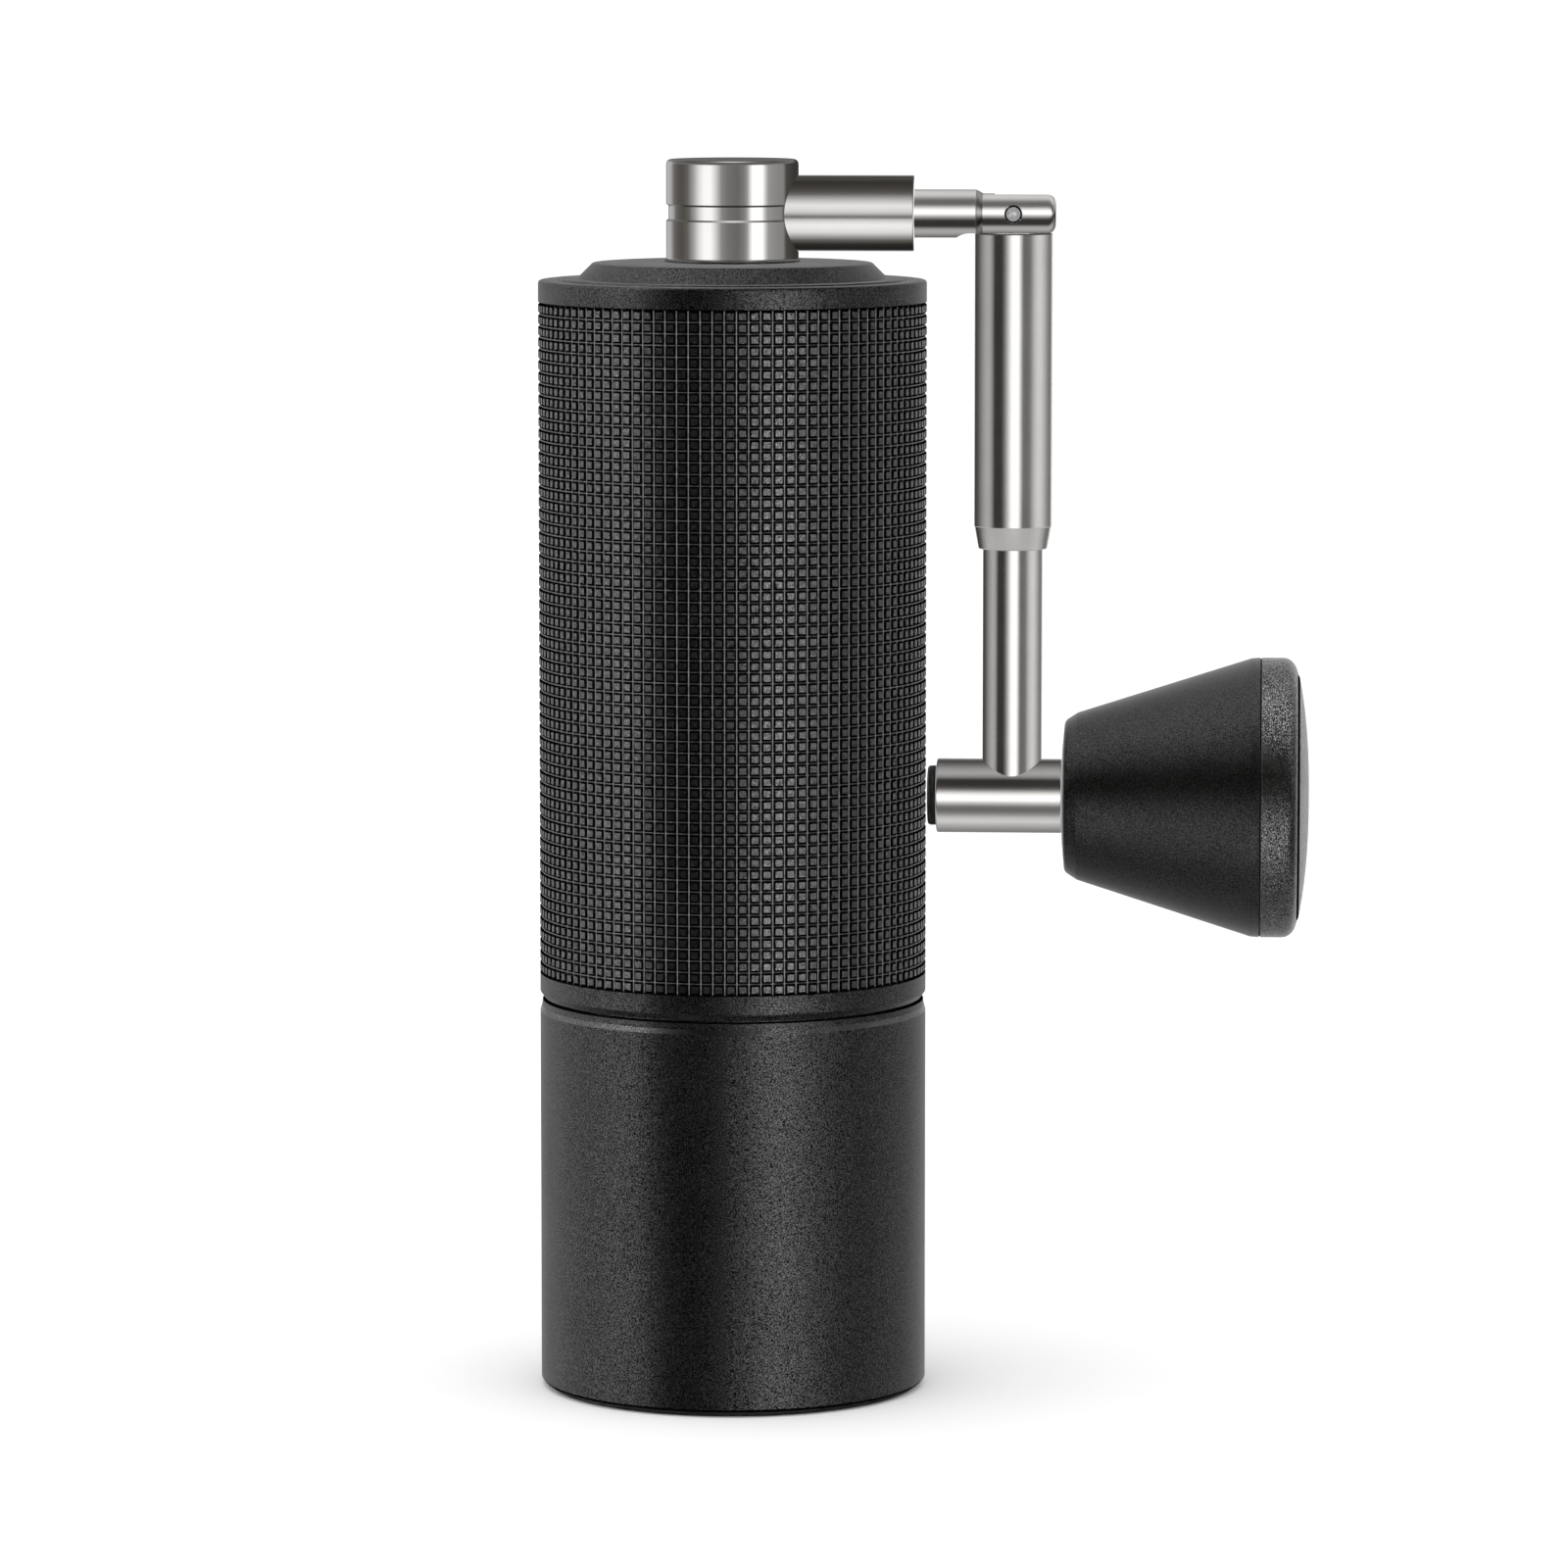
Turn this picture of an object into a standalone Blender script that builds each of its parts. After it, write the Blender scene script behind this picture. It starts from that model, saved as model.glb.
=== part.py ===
"""Hand crank coffee grinder with a folding handle, as separate solids.

Run with: blender --background --python part.py
Units are metres and +Z is up. The origin is on the body's axis, at the underside of the foot pad.
The crank stands folded: its collar points along +X and its arm hangs beside the body.
"""

import math

import bmesh
import bpy

# ---- Driving dimensions -------------------------------------------------------------------
GAP = 0.0003  # clearance between pieces that rest on each other
THIN_GAP = 0.0001  # clearance of a close fit, such as a bearing in its seat

BODY_R = 0.0260  # outside radius of the shell and the cup
RIM_Z = 0.1494  # top of the shell's rim
PART_Z = 0.0530  # plane where the cup meets the shell
EDGE_DEPTH = 0.00065  # depth of the chamfers on both sides of that plane
LEDGE_Z = 0.1472  # ledge inside the rim that the lid rests on
NECK_R = 0.0236  # threaded neck that the cup screws onto
NECK_Z = 0.0450  # lower end of the neck
NECK_BORE_R = 0.0220
SEAT_Z = 0.0840  # where the narrow lower bore opens into the bean chamber
CHAMBER_R = 0.0226  # bean chamber
RIM_BORE_R = 0.02345  # recess that the lid's flange sits in

CUP_Z = 0.0006  # underside of the metal cup, above the pad that it stands on
CUP_FLOOR_Z = 0.0034
CUP_BORE_R = 0.0237
CUP_MOUTH_R = 0.0244
PAD_R = 0.0249

LID_R = 0.0231
LID_TOP_Z = 0.1496  # the lid's flat flange
PLATFORM_Z = 0.1517  # the raised middle of the lid
LID_BOTTOM_Z = 0.1430

HUB_R = 0.00885
HUB_Z = 0.1522  # underside of the hub
HUB_TOP_Z = 0.1655
HUB_NECK_R = 0.0065  # the hub's neck, which passes through the lid
HUB_NECK_Z = 0.1445
HEX_TOP = 0.0070  # across the flats, where the shaft drives the hub
HEX_LOW = 0.0056  # across the flats, where the shaft drives the inner burr

CRANK_Z = 0.1583  # height of the crank's cross axis
COLLAR_R = 0.0051
COLLAR_END_X = 0.0244
STUB_R = 0.00323
FORK_R = 0.00255
FORK_ROOT_X = 0.0328
FORK_END_X = 0.0432
SLOT_HALF = 0.0009  # half the width of the fork's slot
PIN_X = 0.0376  # hinge of the folding arm
PIN_R = 0.0011
FLAT_DROP = 0.0026  # from the pin down to the flat milled under the fork

TONGUE_HALF = 0.0006  # half the thickness of the arm's tongue
TONGUE_R = 0.0022
EYE_HALF = 0.00065  # the boss round the pin is a little thicker than the tongue
SHOULDER_DROP = 0.0062  # from the pin down to the arm's round part
THIN_ROD_R = 0.0029
ROD_R = 0.0040
ROD_STEP_Z = 0.1300  # where the arm's thin top becomes its full diameter
SLEEVE_R = 0.0052
SLEEVE_BORE_R = 0.00335  # slips over the stub when the arm is straight
SLEEVE_TOP_Z = 0.1554
SLEEVE_LOW_Z = 0.1136
SLEEVE_STEP_Z = 0.1470  # shoulder inside the sleeve that the spring bears on
TAPER_Z = 0.1166
TAPER_R = 0.0046

KNOB_Z = 0.0803  # axis of the knob
CROSS_R = 0.0050
CROSS_X = 0.0275
CROSS_END_X = 0.0441
BUMPER_R = 0.0040
BUMPER_X = BODY_R + GAP
KNOB_X = 0.0444  # face of the knob's small end
KNOB_SMALL_R = 0.01095
KNOB_BIG_R = 0.01875
SEAM_X = 0.0709  # seam between the knob and its cap
CAP_EDGE_X = 0.0757  # where the cap's rounded edge meets its domed face
CAP_FACE_R = 0.0161
CAP_END_X = 0.0774
SPINDLE_R = 0.0030

SHAFT_R = 0.0040
BEARING_R = 0.0080
BEARING_WIDTH = 0.0050
UPPER_BEARING_Z = 0.1310
LOWER_BEARING_Z = 0.0820
BALLS = 7

BURR_R = 0.0186  # outside of the ring burr
BURR_Z = 0.0600
BURR_TOP_Z = 0.0750
CONE_BASE_R = 0.0144
CONE_TOP_R = 0.0080
CONE_Z = 0.0592
CONE_TOP_Z = 0.0760
BLADES = 7
DIAL_R = 0.0115
DIAL_CLICKS = 24

FINE = 40  # sides of the large turned pieces
ROUND = 24
SMALL = 16

BLACK = (0.020, 0.020, 0.022, 1.0)
STEEL = (0.60, 0.59, 0.57, 1.0)
BRIGHT = (0.70, 0.70, 0.70, 1.0)
RUBBER = (0.012, 0.012, 0.012, 1.0)
BRASS = (0.60, 0.44, 0.20, 1.0)
PLASTIC = (0.028, 0.028, 0.030, 1.0)


# ---- Scene --------------------------------------------------------------------------------
def clear_scene():
    for obj in list(bpy.data.objects):
        bpy.data.objects.remove(obj, do_unlink=True)


def new_collection(name):
    collection = bpy.data.collections.new(name)
    bpy.context.scene.collection.children.link(collection)
    return collection


def make_material(name, colour, roughness, metallic):
    material = bpy.data.materials.new(name)
    material.use_nodes = True
    shader = material.node_tree.nodes["Principled BSDF"]
    shader.inputs["Base Color"].default_value = colour
    shader.inputs["Roughness"].default_value = roughness
    shader.inputs["Metallic"].default_value = metallic
    return material


clear_scene()
PARTS = new_collection("hand_grinder")
HELPERS = new_collection("cutters")
ANODISED = make_material("anodised_black", BLACK, 0.45, 0.6)
STAINLESS = make_material("stainless_steel", STEEL, 0.22, 1.0)
BEARING_STEEL = make_material("bearing_steel", BRIGHT, 0.15, 1.0)
SOFT_RUBBER = make_material("soft_rubber", RUBBER, 0.70, 0.0)
BRASS_METAL = make_material("brass", BRASS, 0.30, 1.0)
BLACK_PLASTIC = make_material("black_plastic", PLASTIC, 0.50, 0.0)


# ---- Shapes -------------------------------------------------------------------------------
def add_object(name, mesh, material, helper=False):
    obj = bpy.data.objects.new(name, mesh)
    (HELPERS if helper else PARTS).objects.link(obj)
    if helper:
        obj.hide_render = True
        obj.display_type = "WIRE"
    if material:
        obj.data.materials.append(material)
    return obj


def turned(name, profile, material=None, sides=ROUND, closed=True, helper=False):
    """A piece turned about its own Z. The (radius, z) profile runs down its outer side.

    A closed profile is a ring's section. An open one starts and ends on the axis.
    """
    mesh = bpy.data.meshes.new(name)
    edges = [(i, i + 1) for i in range(len(profile) - 1)]
    if closed:
        edges.append((len(profile) - 1, 0))
    mesh.from_pydata([(r, 0.0, z) for r, z in profile], edges, [])
    obj = add_object(name, mesh, material, helper)
    screw = obj.modifiers.new("turn", "SCREW")
    screw.steps = sides
    screw.render_steps = sides
    screw.use_merge_vertices = True
    screw.merge_threshold = 0.00001
    screw.use_smooth_shade = False
    return obj


def ring(inner, outer, low, high):
    """Section of a plain ring."""
    return [(inner, high), (outer, high), (outer, low), (inner, low)]


def rod(radius, low, high, edge=0.0):
    """Section of a plain rod, with its edges broken by a small chamfer."""
    if not edge:
        return [(0.0, high), (radius, high), (radius, low), (0.0, low)]
    return [
        (0.0, high),
        (radius - edge, high),
        (radius, high - edge),
        (radius, low + edge),
        (radius - edge, low),
        (0.0, low),
    ]


def box(name, low, high, material=None, helper=True):
    mesh = bpy.data.meshes.new(name)
    shape = bmesh.new()
    bmesh.ops.create_cube(shape, size=1.0)
    for vert in shape.verts:
        for i in range(3):
            vert.co[i] = low[i] if vert.co[i] < 0 else high[i]
    shape.to_mesh(mesh)
    shape.free()
    return add_object(name, mesh, material, helper)


def prism(name, across_flats, low, high, turn=0.0, sides=6):
    """A helper prism about Z with the given distance across its flats."""
    mesh = bpy.data.meshes.new(name)
    shape = bmesh.new()
    radius = across_flats / 2 / math.cos(math.pi / sides)
    bmesh.ops.create_cone(
        shape, cap_ends=True, segments=sides, radius1=radius, radius2=radius, depth=high - low
    )
    bmesh.ops.translate(shape, verts=shape.verts, vec=(0, 0, (high + low) / 2))
    shape.to_mesh(mesh)
    shape.free()
    obj = add_object(name, mesh, None, helper=True)
    obj.rotation_euler.z = turn
    return obj


def lay_along_x(obj, z, y=0.0):
    """Turns a piece made about Z so that it lies along +X at that height."""
    obj.rotation_euler = (0.0, math.pi / 2, 0.0)
    obj.location = (0.0, y, z)
    return obj


def boolean(obj, operation, other):
    modifier = obj.modifiers.new(operation.lower() + "_" + other.name, "BOOLEAN")
    modifier.operation = operation
    modifier.object = other
    modifier.solver = "EXACT"
    return obj


def cut(obj, *others):
    for other in others:
        boolean(obj, "DIFFERENCE", other)
    return obj


def join(obj, *others):
    for other in others:
        boolean(obj, "UNION", other)
    return obj


def mesh_from_curve(curve_object, name, material):
    """A plain mesh object from a curve, with its caps welded, so that it can be cut."""
    bpy.context.view_layer.update()
    evaluated = curve_object.evaluated_get(bpy.context.evaluated_depsgraph_get())
    mesh = bpy.data.meshes.new_from_object(evaluated)
    shape = bmesh.new()
    shape.from_mesh(mesh)
    bmesh.ops.remove_doubles(shape, verts=shape.verts, dist=0.000001)
    shape.to_mesh(mesh)
    shape.free()
    obj = add_object(name, mesh, material)
    obj.matrix_world = curve_object.matrix_world
    bpy.data.objects.remove(curve_object, do_unlink=True)
    return obj


def outline(name, points, thickness, material):
    """A flat plate about Z, from a closed outline in X and Y, centred on its thickness."""
    curve = bpy.data.curves.new(name + "_outline", "CURVE")
    curve.dimensions = "2D"
    curve.fill_mode = "BOTH"
    curve.extrude = thickness / 2
    spline = curve.splines.new("POLY")
    spline.points.add(len(points) - 1)
    for point, (x, y) in zip(spline.points, points):
        point.co = (x, y, 0.0, 1.0)
    spline.use_cyclic_u = True
    obj = bpy.data.objects.new(name + "_outline", curve)
    PARTS.objects.link(obj)
    return mesh_from_curve(obj, name, material)


def coil(name, radius, wire, low, high, turns, material, steps=10, roundness=1):
    """A compression spring about Z, with its end turns closed."""
    curve = bpy.data.curves.new(name, "CURVE")
    curve.dimensions = "3D"
    curve.bevel_depth = wire / 2
    curve.bevel_resolution = roundness
    curve.use_fill_caps = True
    count = int(turns * steps)
    spline = curve.splines.new("POLY")
    spline.points.add(count)
    closed_pitch = wire * 1.1
    free = (high - low - wire - 2 * closed_pitch) / (turns - 2)
    for i, point in enumerate(spline.points):
        turn = i / steps
        rise = closed_pitch * min(turn, 1) + free * min(max(turn - 1, 0), turns - 2)
        rise += closed_pitch * max(turn - turns + 1, 0)
        angle = 2 * math.pi * turn
        point.co = (radius * math.cos(angle), radius * math.sin(angle), low + wire / 2 + rise, 1)
    obj = bpy.data.objects.new(name, curve)
    PARTS.objects.link(obj)
    obj.data.materials.append(material)
    return obj


def torus(name, major, minor, z, material, sides=FINE, around=6):
    section = []
    for i in range(around):
        angle = 2 * math.pi * (0.5 - i) / around
        section.append((major + minor * math.cos(angle), z + minor * math.sin(angle)))
    return turned(name, section, material, sides)


# ---- Body ---------------------------------------------------------------------------------
def make_shell():
    seal_low, seal_high = PART_Z - 0.0019, PART_Z - 0.0003
    profile = [
        (BODY_R - 0.0005, RIM_Z),
        (BODY_R, RIM_Z - 0.0005),
        (BODY_R, PART_Z + EDGE_DEPTH),
        (BODY_R - EDGE_DEPTH, PART_Z),
        (NECK_R, PART_Z),
        (NECK_R, seal_high),
        (NECK_R - 0.0006, seal_high),
        (NECK_R - 0.0006, seal_low),
        (NECK_R, seal_low),
        (NECK_R, NECK_Z + 0.0005),
        (NECK_R - 0.0005, NECK_Z),
        (NECK_BORE_R, NECK_Z),
        (NECK_BORE_R, SEAT_Z),
        (CHAMBER_R, SEAT_Z + 0.0010),
        (CHAMBER_R, LEDGE_Z),
        (RIM_BORE_R, LEDGE_Z),
        (RIM_BORE_R, RIM_Z),
    ]
    turned("outer_shell", profile, ANODISED, FINE)


def make_neck_seal():
    torus("neck_seal", NECK_R - 0.00001, 0.00050, PART_Z - 0.0011, SOFT_RUBBER)


def spokes(name, low, high, inner, outer, half_width):
    """Three helper bars between a boss and its ring."""
    bars = []
    for i in range(3):
        bar = box(f"{name}_{i + 1}", (inner, -half_width, low), (outer, half_width, high))
        bar.rotation_euler.z = math.radians(90 + 120 * i)
        bars.append(bar)
    return bars


def bearing_boss(name, bearing_z, outer, top, low):
    """Helper boss with a seat for a bearing and a lip under it."""
    seat = BEARING_R + THIN_GAP
    lip = 0.0066
    profile = [
        (outer, top),
        (outer, low),
        (lip, low),
        (lip, bearing_z - GAP),
        (seat, bearing_z - GAP),
        (seat, top),
    ]
    return turned(name, profile, sides=ROUND, helper=True)


def make_upper_bridge():
    low, high = 0.1290, 0.1370
    rim = turned("upper_bridge", ring(0.0205, CHAMBER_R - GAP, low, high), ANODISED, ROUND)
    boss = bearing_boss("upper_boss", UPPER_BEARING_Z, 0.0100, high, low)
    join(rim, boss, *spokes("upper_spoke", low + 0.001, high - 0.002, 0.0090, 0.0214, 0.0015))


def make_burr_frame():
    top, low = 0.0842, 0.0580
    profile = [
        (NECK_BORE_R - GAP, top),
        (NECK_BORE_R - GAP, low),
        (BURR_R + GAP, low),
        (BURR_R + GAP, BURR_TOP_Z + GAP),
        (0.0165, BURR_TOP_Z + GAP),
        (0.0165, 0.0770),
        (0.0196, 0.0790),
        (0.0196, top),
    ]
    frame = turned("burr_frame", profile, ANODISED, ROUND)
    boss = bearing_boss("lower_boss", LOWER_BEARING_Z, 0.0098, 0.0880, 0.0790)
    join(frame, boss, *spokes("lower_spoke", 0.0795, 0.0836, 0.0090, 0.0206, 0.0016))
    for i in range(3):
        hole = turned(f"screw_hole_{i + 1}", rod(0.0008, 0.0570, 0.0650), sides=12, closed=False, helper=True)
        place_burr_screw(hole, i)
        cut(frame, hole)


def place_burr_screw(obj, index):
    angle = math.radians(30 + 120 * index)
    radius = 0.0201
    obj.location.x = radius * math.cos(angle)
    obj.location.y = radius * math.sin(angle)


def make_burr_screws():
    """Three screws whose heads clamp the ring burr into its frame from below."""
    for i in range(3):
        head, shank = 0.00175, 0.0006
        profile = [
            (0.0, 0.0640),
            (shank, 0.0640),
            (shank, 0.0577),
            (head, 0.0577),
            (head, 0.0568),
            (head - 0.0005, 0.0563),
            (0.0, 0.0563),
        ]
        screw = turned(f"burr_screw_{i + 1}", profile, STAINLESS, 12, closed=False)
        place_burr_screw(screw, i)


def make_funnel():
    """Cone that guides the beans down to the burrs."""
    profile = [
        (0.0217, 0.0960),
        (0.0222, 0.0960),
        (0.0222, 0.0950),
        (0.0206, 0.0848),
        (0.0200, 0.0848),
        (0.0215, 0.0950),
    ]
    turned("hopper_funnel", profile, BLACK_PLASTIC, ROUND)


def make_ring_burr():
    """The fixed burr: coarse feed at its mouth, fine edge at its foot."""
    profile = [
        (0.0152, BURR_TOP_Z),
        (BURR_R, BURR_TOP_Z),
        (BURR_R, BURR_Z),
        (0.0158, BURR_Z),
        (0.0155, BURR_Z + 0.0020),
        (0.0136, BURR_Z + 0.0085),
    ]
    burr = turned("ring_burr", profile, STAINLESS, ROUND)
    teeth = 12
    for i in range(teeth // 2):
        groove = box(
            f"tooth_gap_{i + 1}", (-0.0166, -0.0008, BURR_Z + 0.0072), (0.0166, 0.0008, BURR_TOP_Z + 0.001)
        )
        groove.rotation_euler.z = math.pi * i / (teeth // 2)
        cut(burr, groove)


# ---- Drive --------------------------------------------------------------------------------
def make_shaft():
    profile = [
        (0.0, 0.1400),
        (SHAFT_R - 0.0006, 0.1400),
        (SHAFT_R - 0.0006, 0.1376),
        (SHAFT_R, 0.1374),
        (SHAFT_R, 0.1370),
        (SHAFT_R - 0.0004, 0.1370),
        (SHAFT_R - 0.0004, 0.1364),
        (SHAFT_R, 0.1364),
        (SHAFT_R, 0.0817),
        (0.0050, 0.0817),
        (0.0050, 0.0792),
        (0.0025, 0.0792),
        (0.0025, 0.0464),
        (0.0022, 0.0461),
        (0.0, 0.0461),
    ]
    shaft = turned("drive_shaft", profile, STAINLESS, SMALL, closed=False)
    join(shaft, prism("hex_top", HEX_TOP, 0.1390, 0.1560), prism("hex_low", HEX_LOW, 0.0588, 0.0800))


def make_shaft_clip():
    """Open ring in the shaft's groove, which keeps the shaft from dropping."""
    clip = turned("shaft_clip", ring(SHAFT_R - 0.0002, 0.0060, 0.1365, 0.1369), BEARING_STEEL, SMALL)
    cut(clip, box("shaft_clip_mouth", (0.0, -0.0012, 0.1355), (0.0080, 0.0012, 0.1380)))


def make_bearing(prefix, z):
    """A ball bearing: two races, and the balls in their cage."""
    top = z + BEARING_WIDTH
    middle = z + BEARING_WIDTH / 2
    turned(prefix + "_outer_race", ring(0.0067, BEARING_R, z, top), BEARING_STEEL, ROUND)
    turned(prefix + "_inner_race", ring(SHAFT_R + THIN_GAP, 0.0052, z, top), BEARING_STEEL, SMALL)
    cage = turned(
        prefix + "_ball_cage",
        ring(0.0057, 0.0062, middle - 0.0005, middle + 0.0005),
        BRASS_METAL,
        SMALL,
    )
    for i in range(BALLS):
        mesh = bpy.data.meshes.new(f"{prefix}_ball_{i + 1}")
        shape = bmesh.new()
        bmesh.ops.create_uvsphere(shape, u_segments=6, v_segments=4, radius=0.00066)
        shape.to_mesh(mesh)
        shape.free()
        ball = add_object(mesh.name, mesh, None, helper=True)
        angle = 2 * math.pi * (i + 0.5) / BALLS
        ball.location = (0.00595 * math.cos(angle), 0.00595 * math.sin(angle), middle)
        join(cage, ball)


def make_spacer():
    """Tube between the two inner races, which the beans run past."""
    low = LOWER_BEARING_Z + BEARING_WIDTH + GAP
    section = ring(SHAFT_R + THIN_GAP, 0.0051, low, UPPER_BEARING_Z - GAP)
    turned("spacer_tube", section, STAINLESS, SMALL)


def cone_radius(share):
    """Radius of the inner burr's core, from its foot (0) to its top (1)."""
    straight = 0.11  # the foot is cylindrical up to here
    climb = max(0.0, (share - straight) / (1 - straight))
    return CONE_BASE_R + (CONE_TOP_R - CONE_BASE_R) * climb


def make_inner_burr():
    """Cone with helical blades: a loft of sections that shrink and twist as they rise."""
    levels, per_blade = 7, 6
    around = BLADES * per_blade
    shape = bmesh.new()
    rows = []
    for level in range(levels):
        share = level / (levels - 1)
        z = CONE_Z + (CONE_TOP_Z - CONE_Z) * share
        row = []
        for i in range(around):
            sweep = (i % per_blade) / per_blade  # a blade rises slowly and drops steeply
            radius = cone_radius(share) - (0.0004 + 0.0016 * share) * (1 - sweep)
            angle = 2 * math.pi * i / around + 0.9 * share
            row.append(shape.verts.new((radius * math.cos(angle), radius * math.sin(angle), z)))
        rows.append(row)
    for lower, upper in zip(rows, rows[1:]):
        for i in range(around):
            j = (i + 1) % around
            shape.faces.new((lower[i], lower[j], upper[j], upper[i]))
    shape.faces.new(rows[0][::-1])
    shape.faces.new(rows[-1])
    mesh = bpy.data.meshes.new("inner_burr")
    shape.to_mesh(mesh)
    shape.free()
    burr = add_object("inner_burr", mesh, STAINLESS)
    recess = turned("spring_recess", rod(0.0049, 0.0680, 0.0780), sides=SMALL, closed=False, helper=True)
    pocket = turned("click_pocket", rod(0.0012, 0.0580, 0.0640), sides=16, closed=False, helper=True)
    pocket.location.x = 0.0085
    cut(burr, prism("burr_bore", HEX_LOW + 2 * GAP, 0.0580, 0.0700), recess, pocket)


def make_burr_spring():
    coil("burr_spring", 0.0041, 0.0008, 0.0683, 0.0789, 4.5, BEARING_STEEL)


def make_click_stop():
    """Ball and spring in the inner burr's foot, which click over the dial's dimples."""
    mesh = bpy.data.meshes.new("click_ball")
    shape = bmesh.new()
    bmesh.ops.create_uvsphere(shape, u_segments=10, v_segments=6, radius=0.0010)
    shape.to_mesh(mesh)
    shape.free()
    ball = add_object("click_ball", mesh, BEARING_STEEL)
    ball.location = (0.0085, 0.0, 0.0600)
    spring = coil("click_spring", 0.0007, 0.0003, 0.0612, 0.0638, 4.0, BEARING_STEEL, 6, 0)
    spring.location.x = 0.0085


def make_dial():
    """Adjusting dial on the shaft's thread, with one rib for each click."""
    points = []
    for i in range(DIAL_CLICKS):
        for step, radius in ((-0.32, DIAL_R), (0.32, DIAL_R), (0.5, DIAL_R - 0.0006)):
            angle = 2 * math.pi * (i + step) / DIAL_CLICKS
            points.append((radius * math.cos(angle), radius * math.sin(angle)))
    low, high = 0.0506, 0.0588
    dial = outline("adjust_dial", points, high - low, ANODISED)
    dial.location.z = (low + high) / 2
    bore = turned("dial_bore", rod(0.0028, 0.0400, 0.0700), sides=SMALL, closed=False, helper=True)
    well = turned("dial_well", ring(0.0050, 0.0088, 0.0480, 0.0540), sides=ROUND, helper=True)
    seat = prism("hex_clearance", 0.0066, 0.0570, 0.0600)
    cut(dial, bore, well, seat)


def make_end_nut():
    nut = turned("end_nut", ring(0.0027, 0.0034, 0.0468, 0.0492), STAINLESS, SMALL)
    join(nut, cut(prism("nut_hexagon", 0.0080, 0.0470, 0.0490), nut_bore()))


def nut_bore():
    return turned("nut_bore", rod(0.0030, 0.0460, 0.0500), sides=SMALL, closed=False, helper=True)


# ---- Lid ----------------------------------------------------------------------------------
def make_lid():
    bore = HUB_NECK_R + GAP
    groove_low, groove_high = 0.1442, 0.1456
    flange_z = LEDGE_Z + GAP
    plug_r = CHAMBER_R - GAP
    profile = [
        (bore, PLATFORM_Z),
        (0.0187, PLATFORM_Z),
        (0.0208, LID_TOP_Z),
        (LID_R - 0.0003, LID_TOP_Z),
        (LID_R, LID_TOP_Z - 0.0003),
        (LID_R, flange_z),
        (plug_r, flange_z),
        (plug_r, groove_high),
        (plug_r - 0.0009, groove_high),
        (plug_r - 0.0009, groove_low),
        (plug_r, groove_low),
        (plug_r, LID_BOTTOM_Z),
        (0.0206, LID_BOTTOM_Z),
        (0.0198, 0.1480),
        (0.0178, 0.1499),
        (0.0105, 0.1499),
        (0.0095, 0.1480),
        (bore, 0.1480),
    ]
    turned("lid", profile, BLACK_PLASTIC, FINE)
    torus("lid_seal", plug_r - 0.00028, 0.00048, (groove_low + groove_high) / 2, SOFT_RUBBER)


# ---- Crank --------------------------------------------------------------------------------
def make_hub():
    edge = 0.0007
    groove_low, groove_high = 0.1574, 0.1594
    clip_low, clip_high = 0.1465, 0.1474
    profile = [
        (0.0, HUB_TOP_Z),
        (HUB_R - edge, HUB_TOP_Z),
        (HUB_R, HUB_TOP_Z - edge),
        (HUB_R, groove_high),
        (HUB_R - 0.00025, groove_high),
        (HUB_R - 0.00025, groove_low),
        (HUB_R, groove_low),
        (HUB_R, HUB_Z),
        (HUB_NECK_R, HUB_Z),
        (HUB_NECK_R, clip_high),
        (HUB_NECK_R - 0.0006, clip_high),
        (HUB_NECK_R - 0.0006, clip_low),
        (HUB_NECK_R, clip_low),
        (HUB_NECK_R, HUB_NECK_Z),
        (0.0, HUB_NECK_Z),
    ]
    hub = turned("crank_hub", profile, STAINLESS, ROUND, closed=False)
    socket = prism("hub_socket", HEX_TOP + 2 * GAP, 0.1400, 0.1563)
    stub_bore = turned("stub_bore", rod(STUB_R + THIN_GAP, 0.0020, 0.0120), closed=False, helper=True)
    lay_along_x(stub_bore, CRANK_Z)
    cut(hub, socket, stub_bore)
    clip = turned("lid_clip", ring(HUB_NECK_R - 0.0004, 0.0086, 0.1466, 0.1473), BEARING_STEEL, SMALL)
    cut(clip, box("lid_clip_mouth", (0.0, -0.0020, 0.1455), (0.0100, 0.0020, 0.1480)))
    washer = ring(HUB_NECK_R + 0.0002, 0.0091, PLATFORM_Z + THIN_GAP, HUB_Z - THIN_GAP)
    turned("hub_washer", washer, BLACK_PLASTIC, ROUND)


def make_collar():
    """Thick sleeve between the hub and the stub, coped to the hub's round side."""
    section = [
        (STUB_R + THIN_GAP, COLLAR_END_X),
        (COLLAR_R - 0.0002, COLLAR_END_X),
        (COLLAR_R, COLLAR_END_X - 0.0002),
        (COLLAR_R, 0.0050),
        (STUB_R + THIN_GAP, 0.0050),
    ]
    collar = lay_along_x(turned("arm_collar", section, STAINLESS, ROUND), CRANK_Z)
    section = rod(HUB_R + THIN_GAP, 0.1400, 0.1700)
    cut(collar, turned("collar_cope", section, sides=ROUND, closed=False, helper=True))


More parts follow.
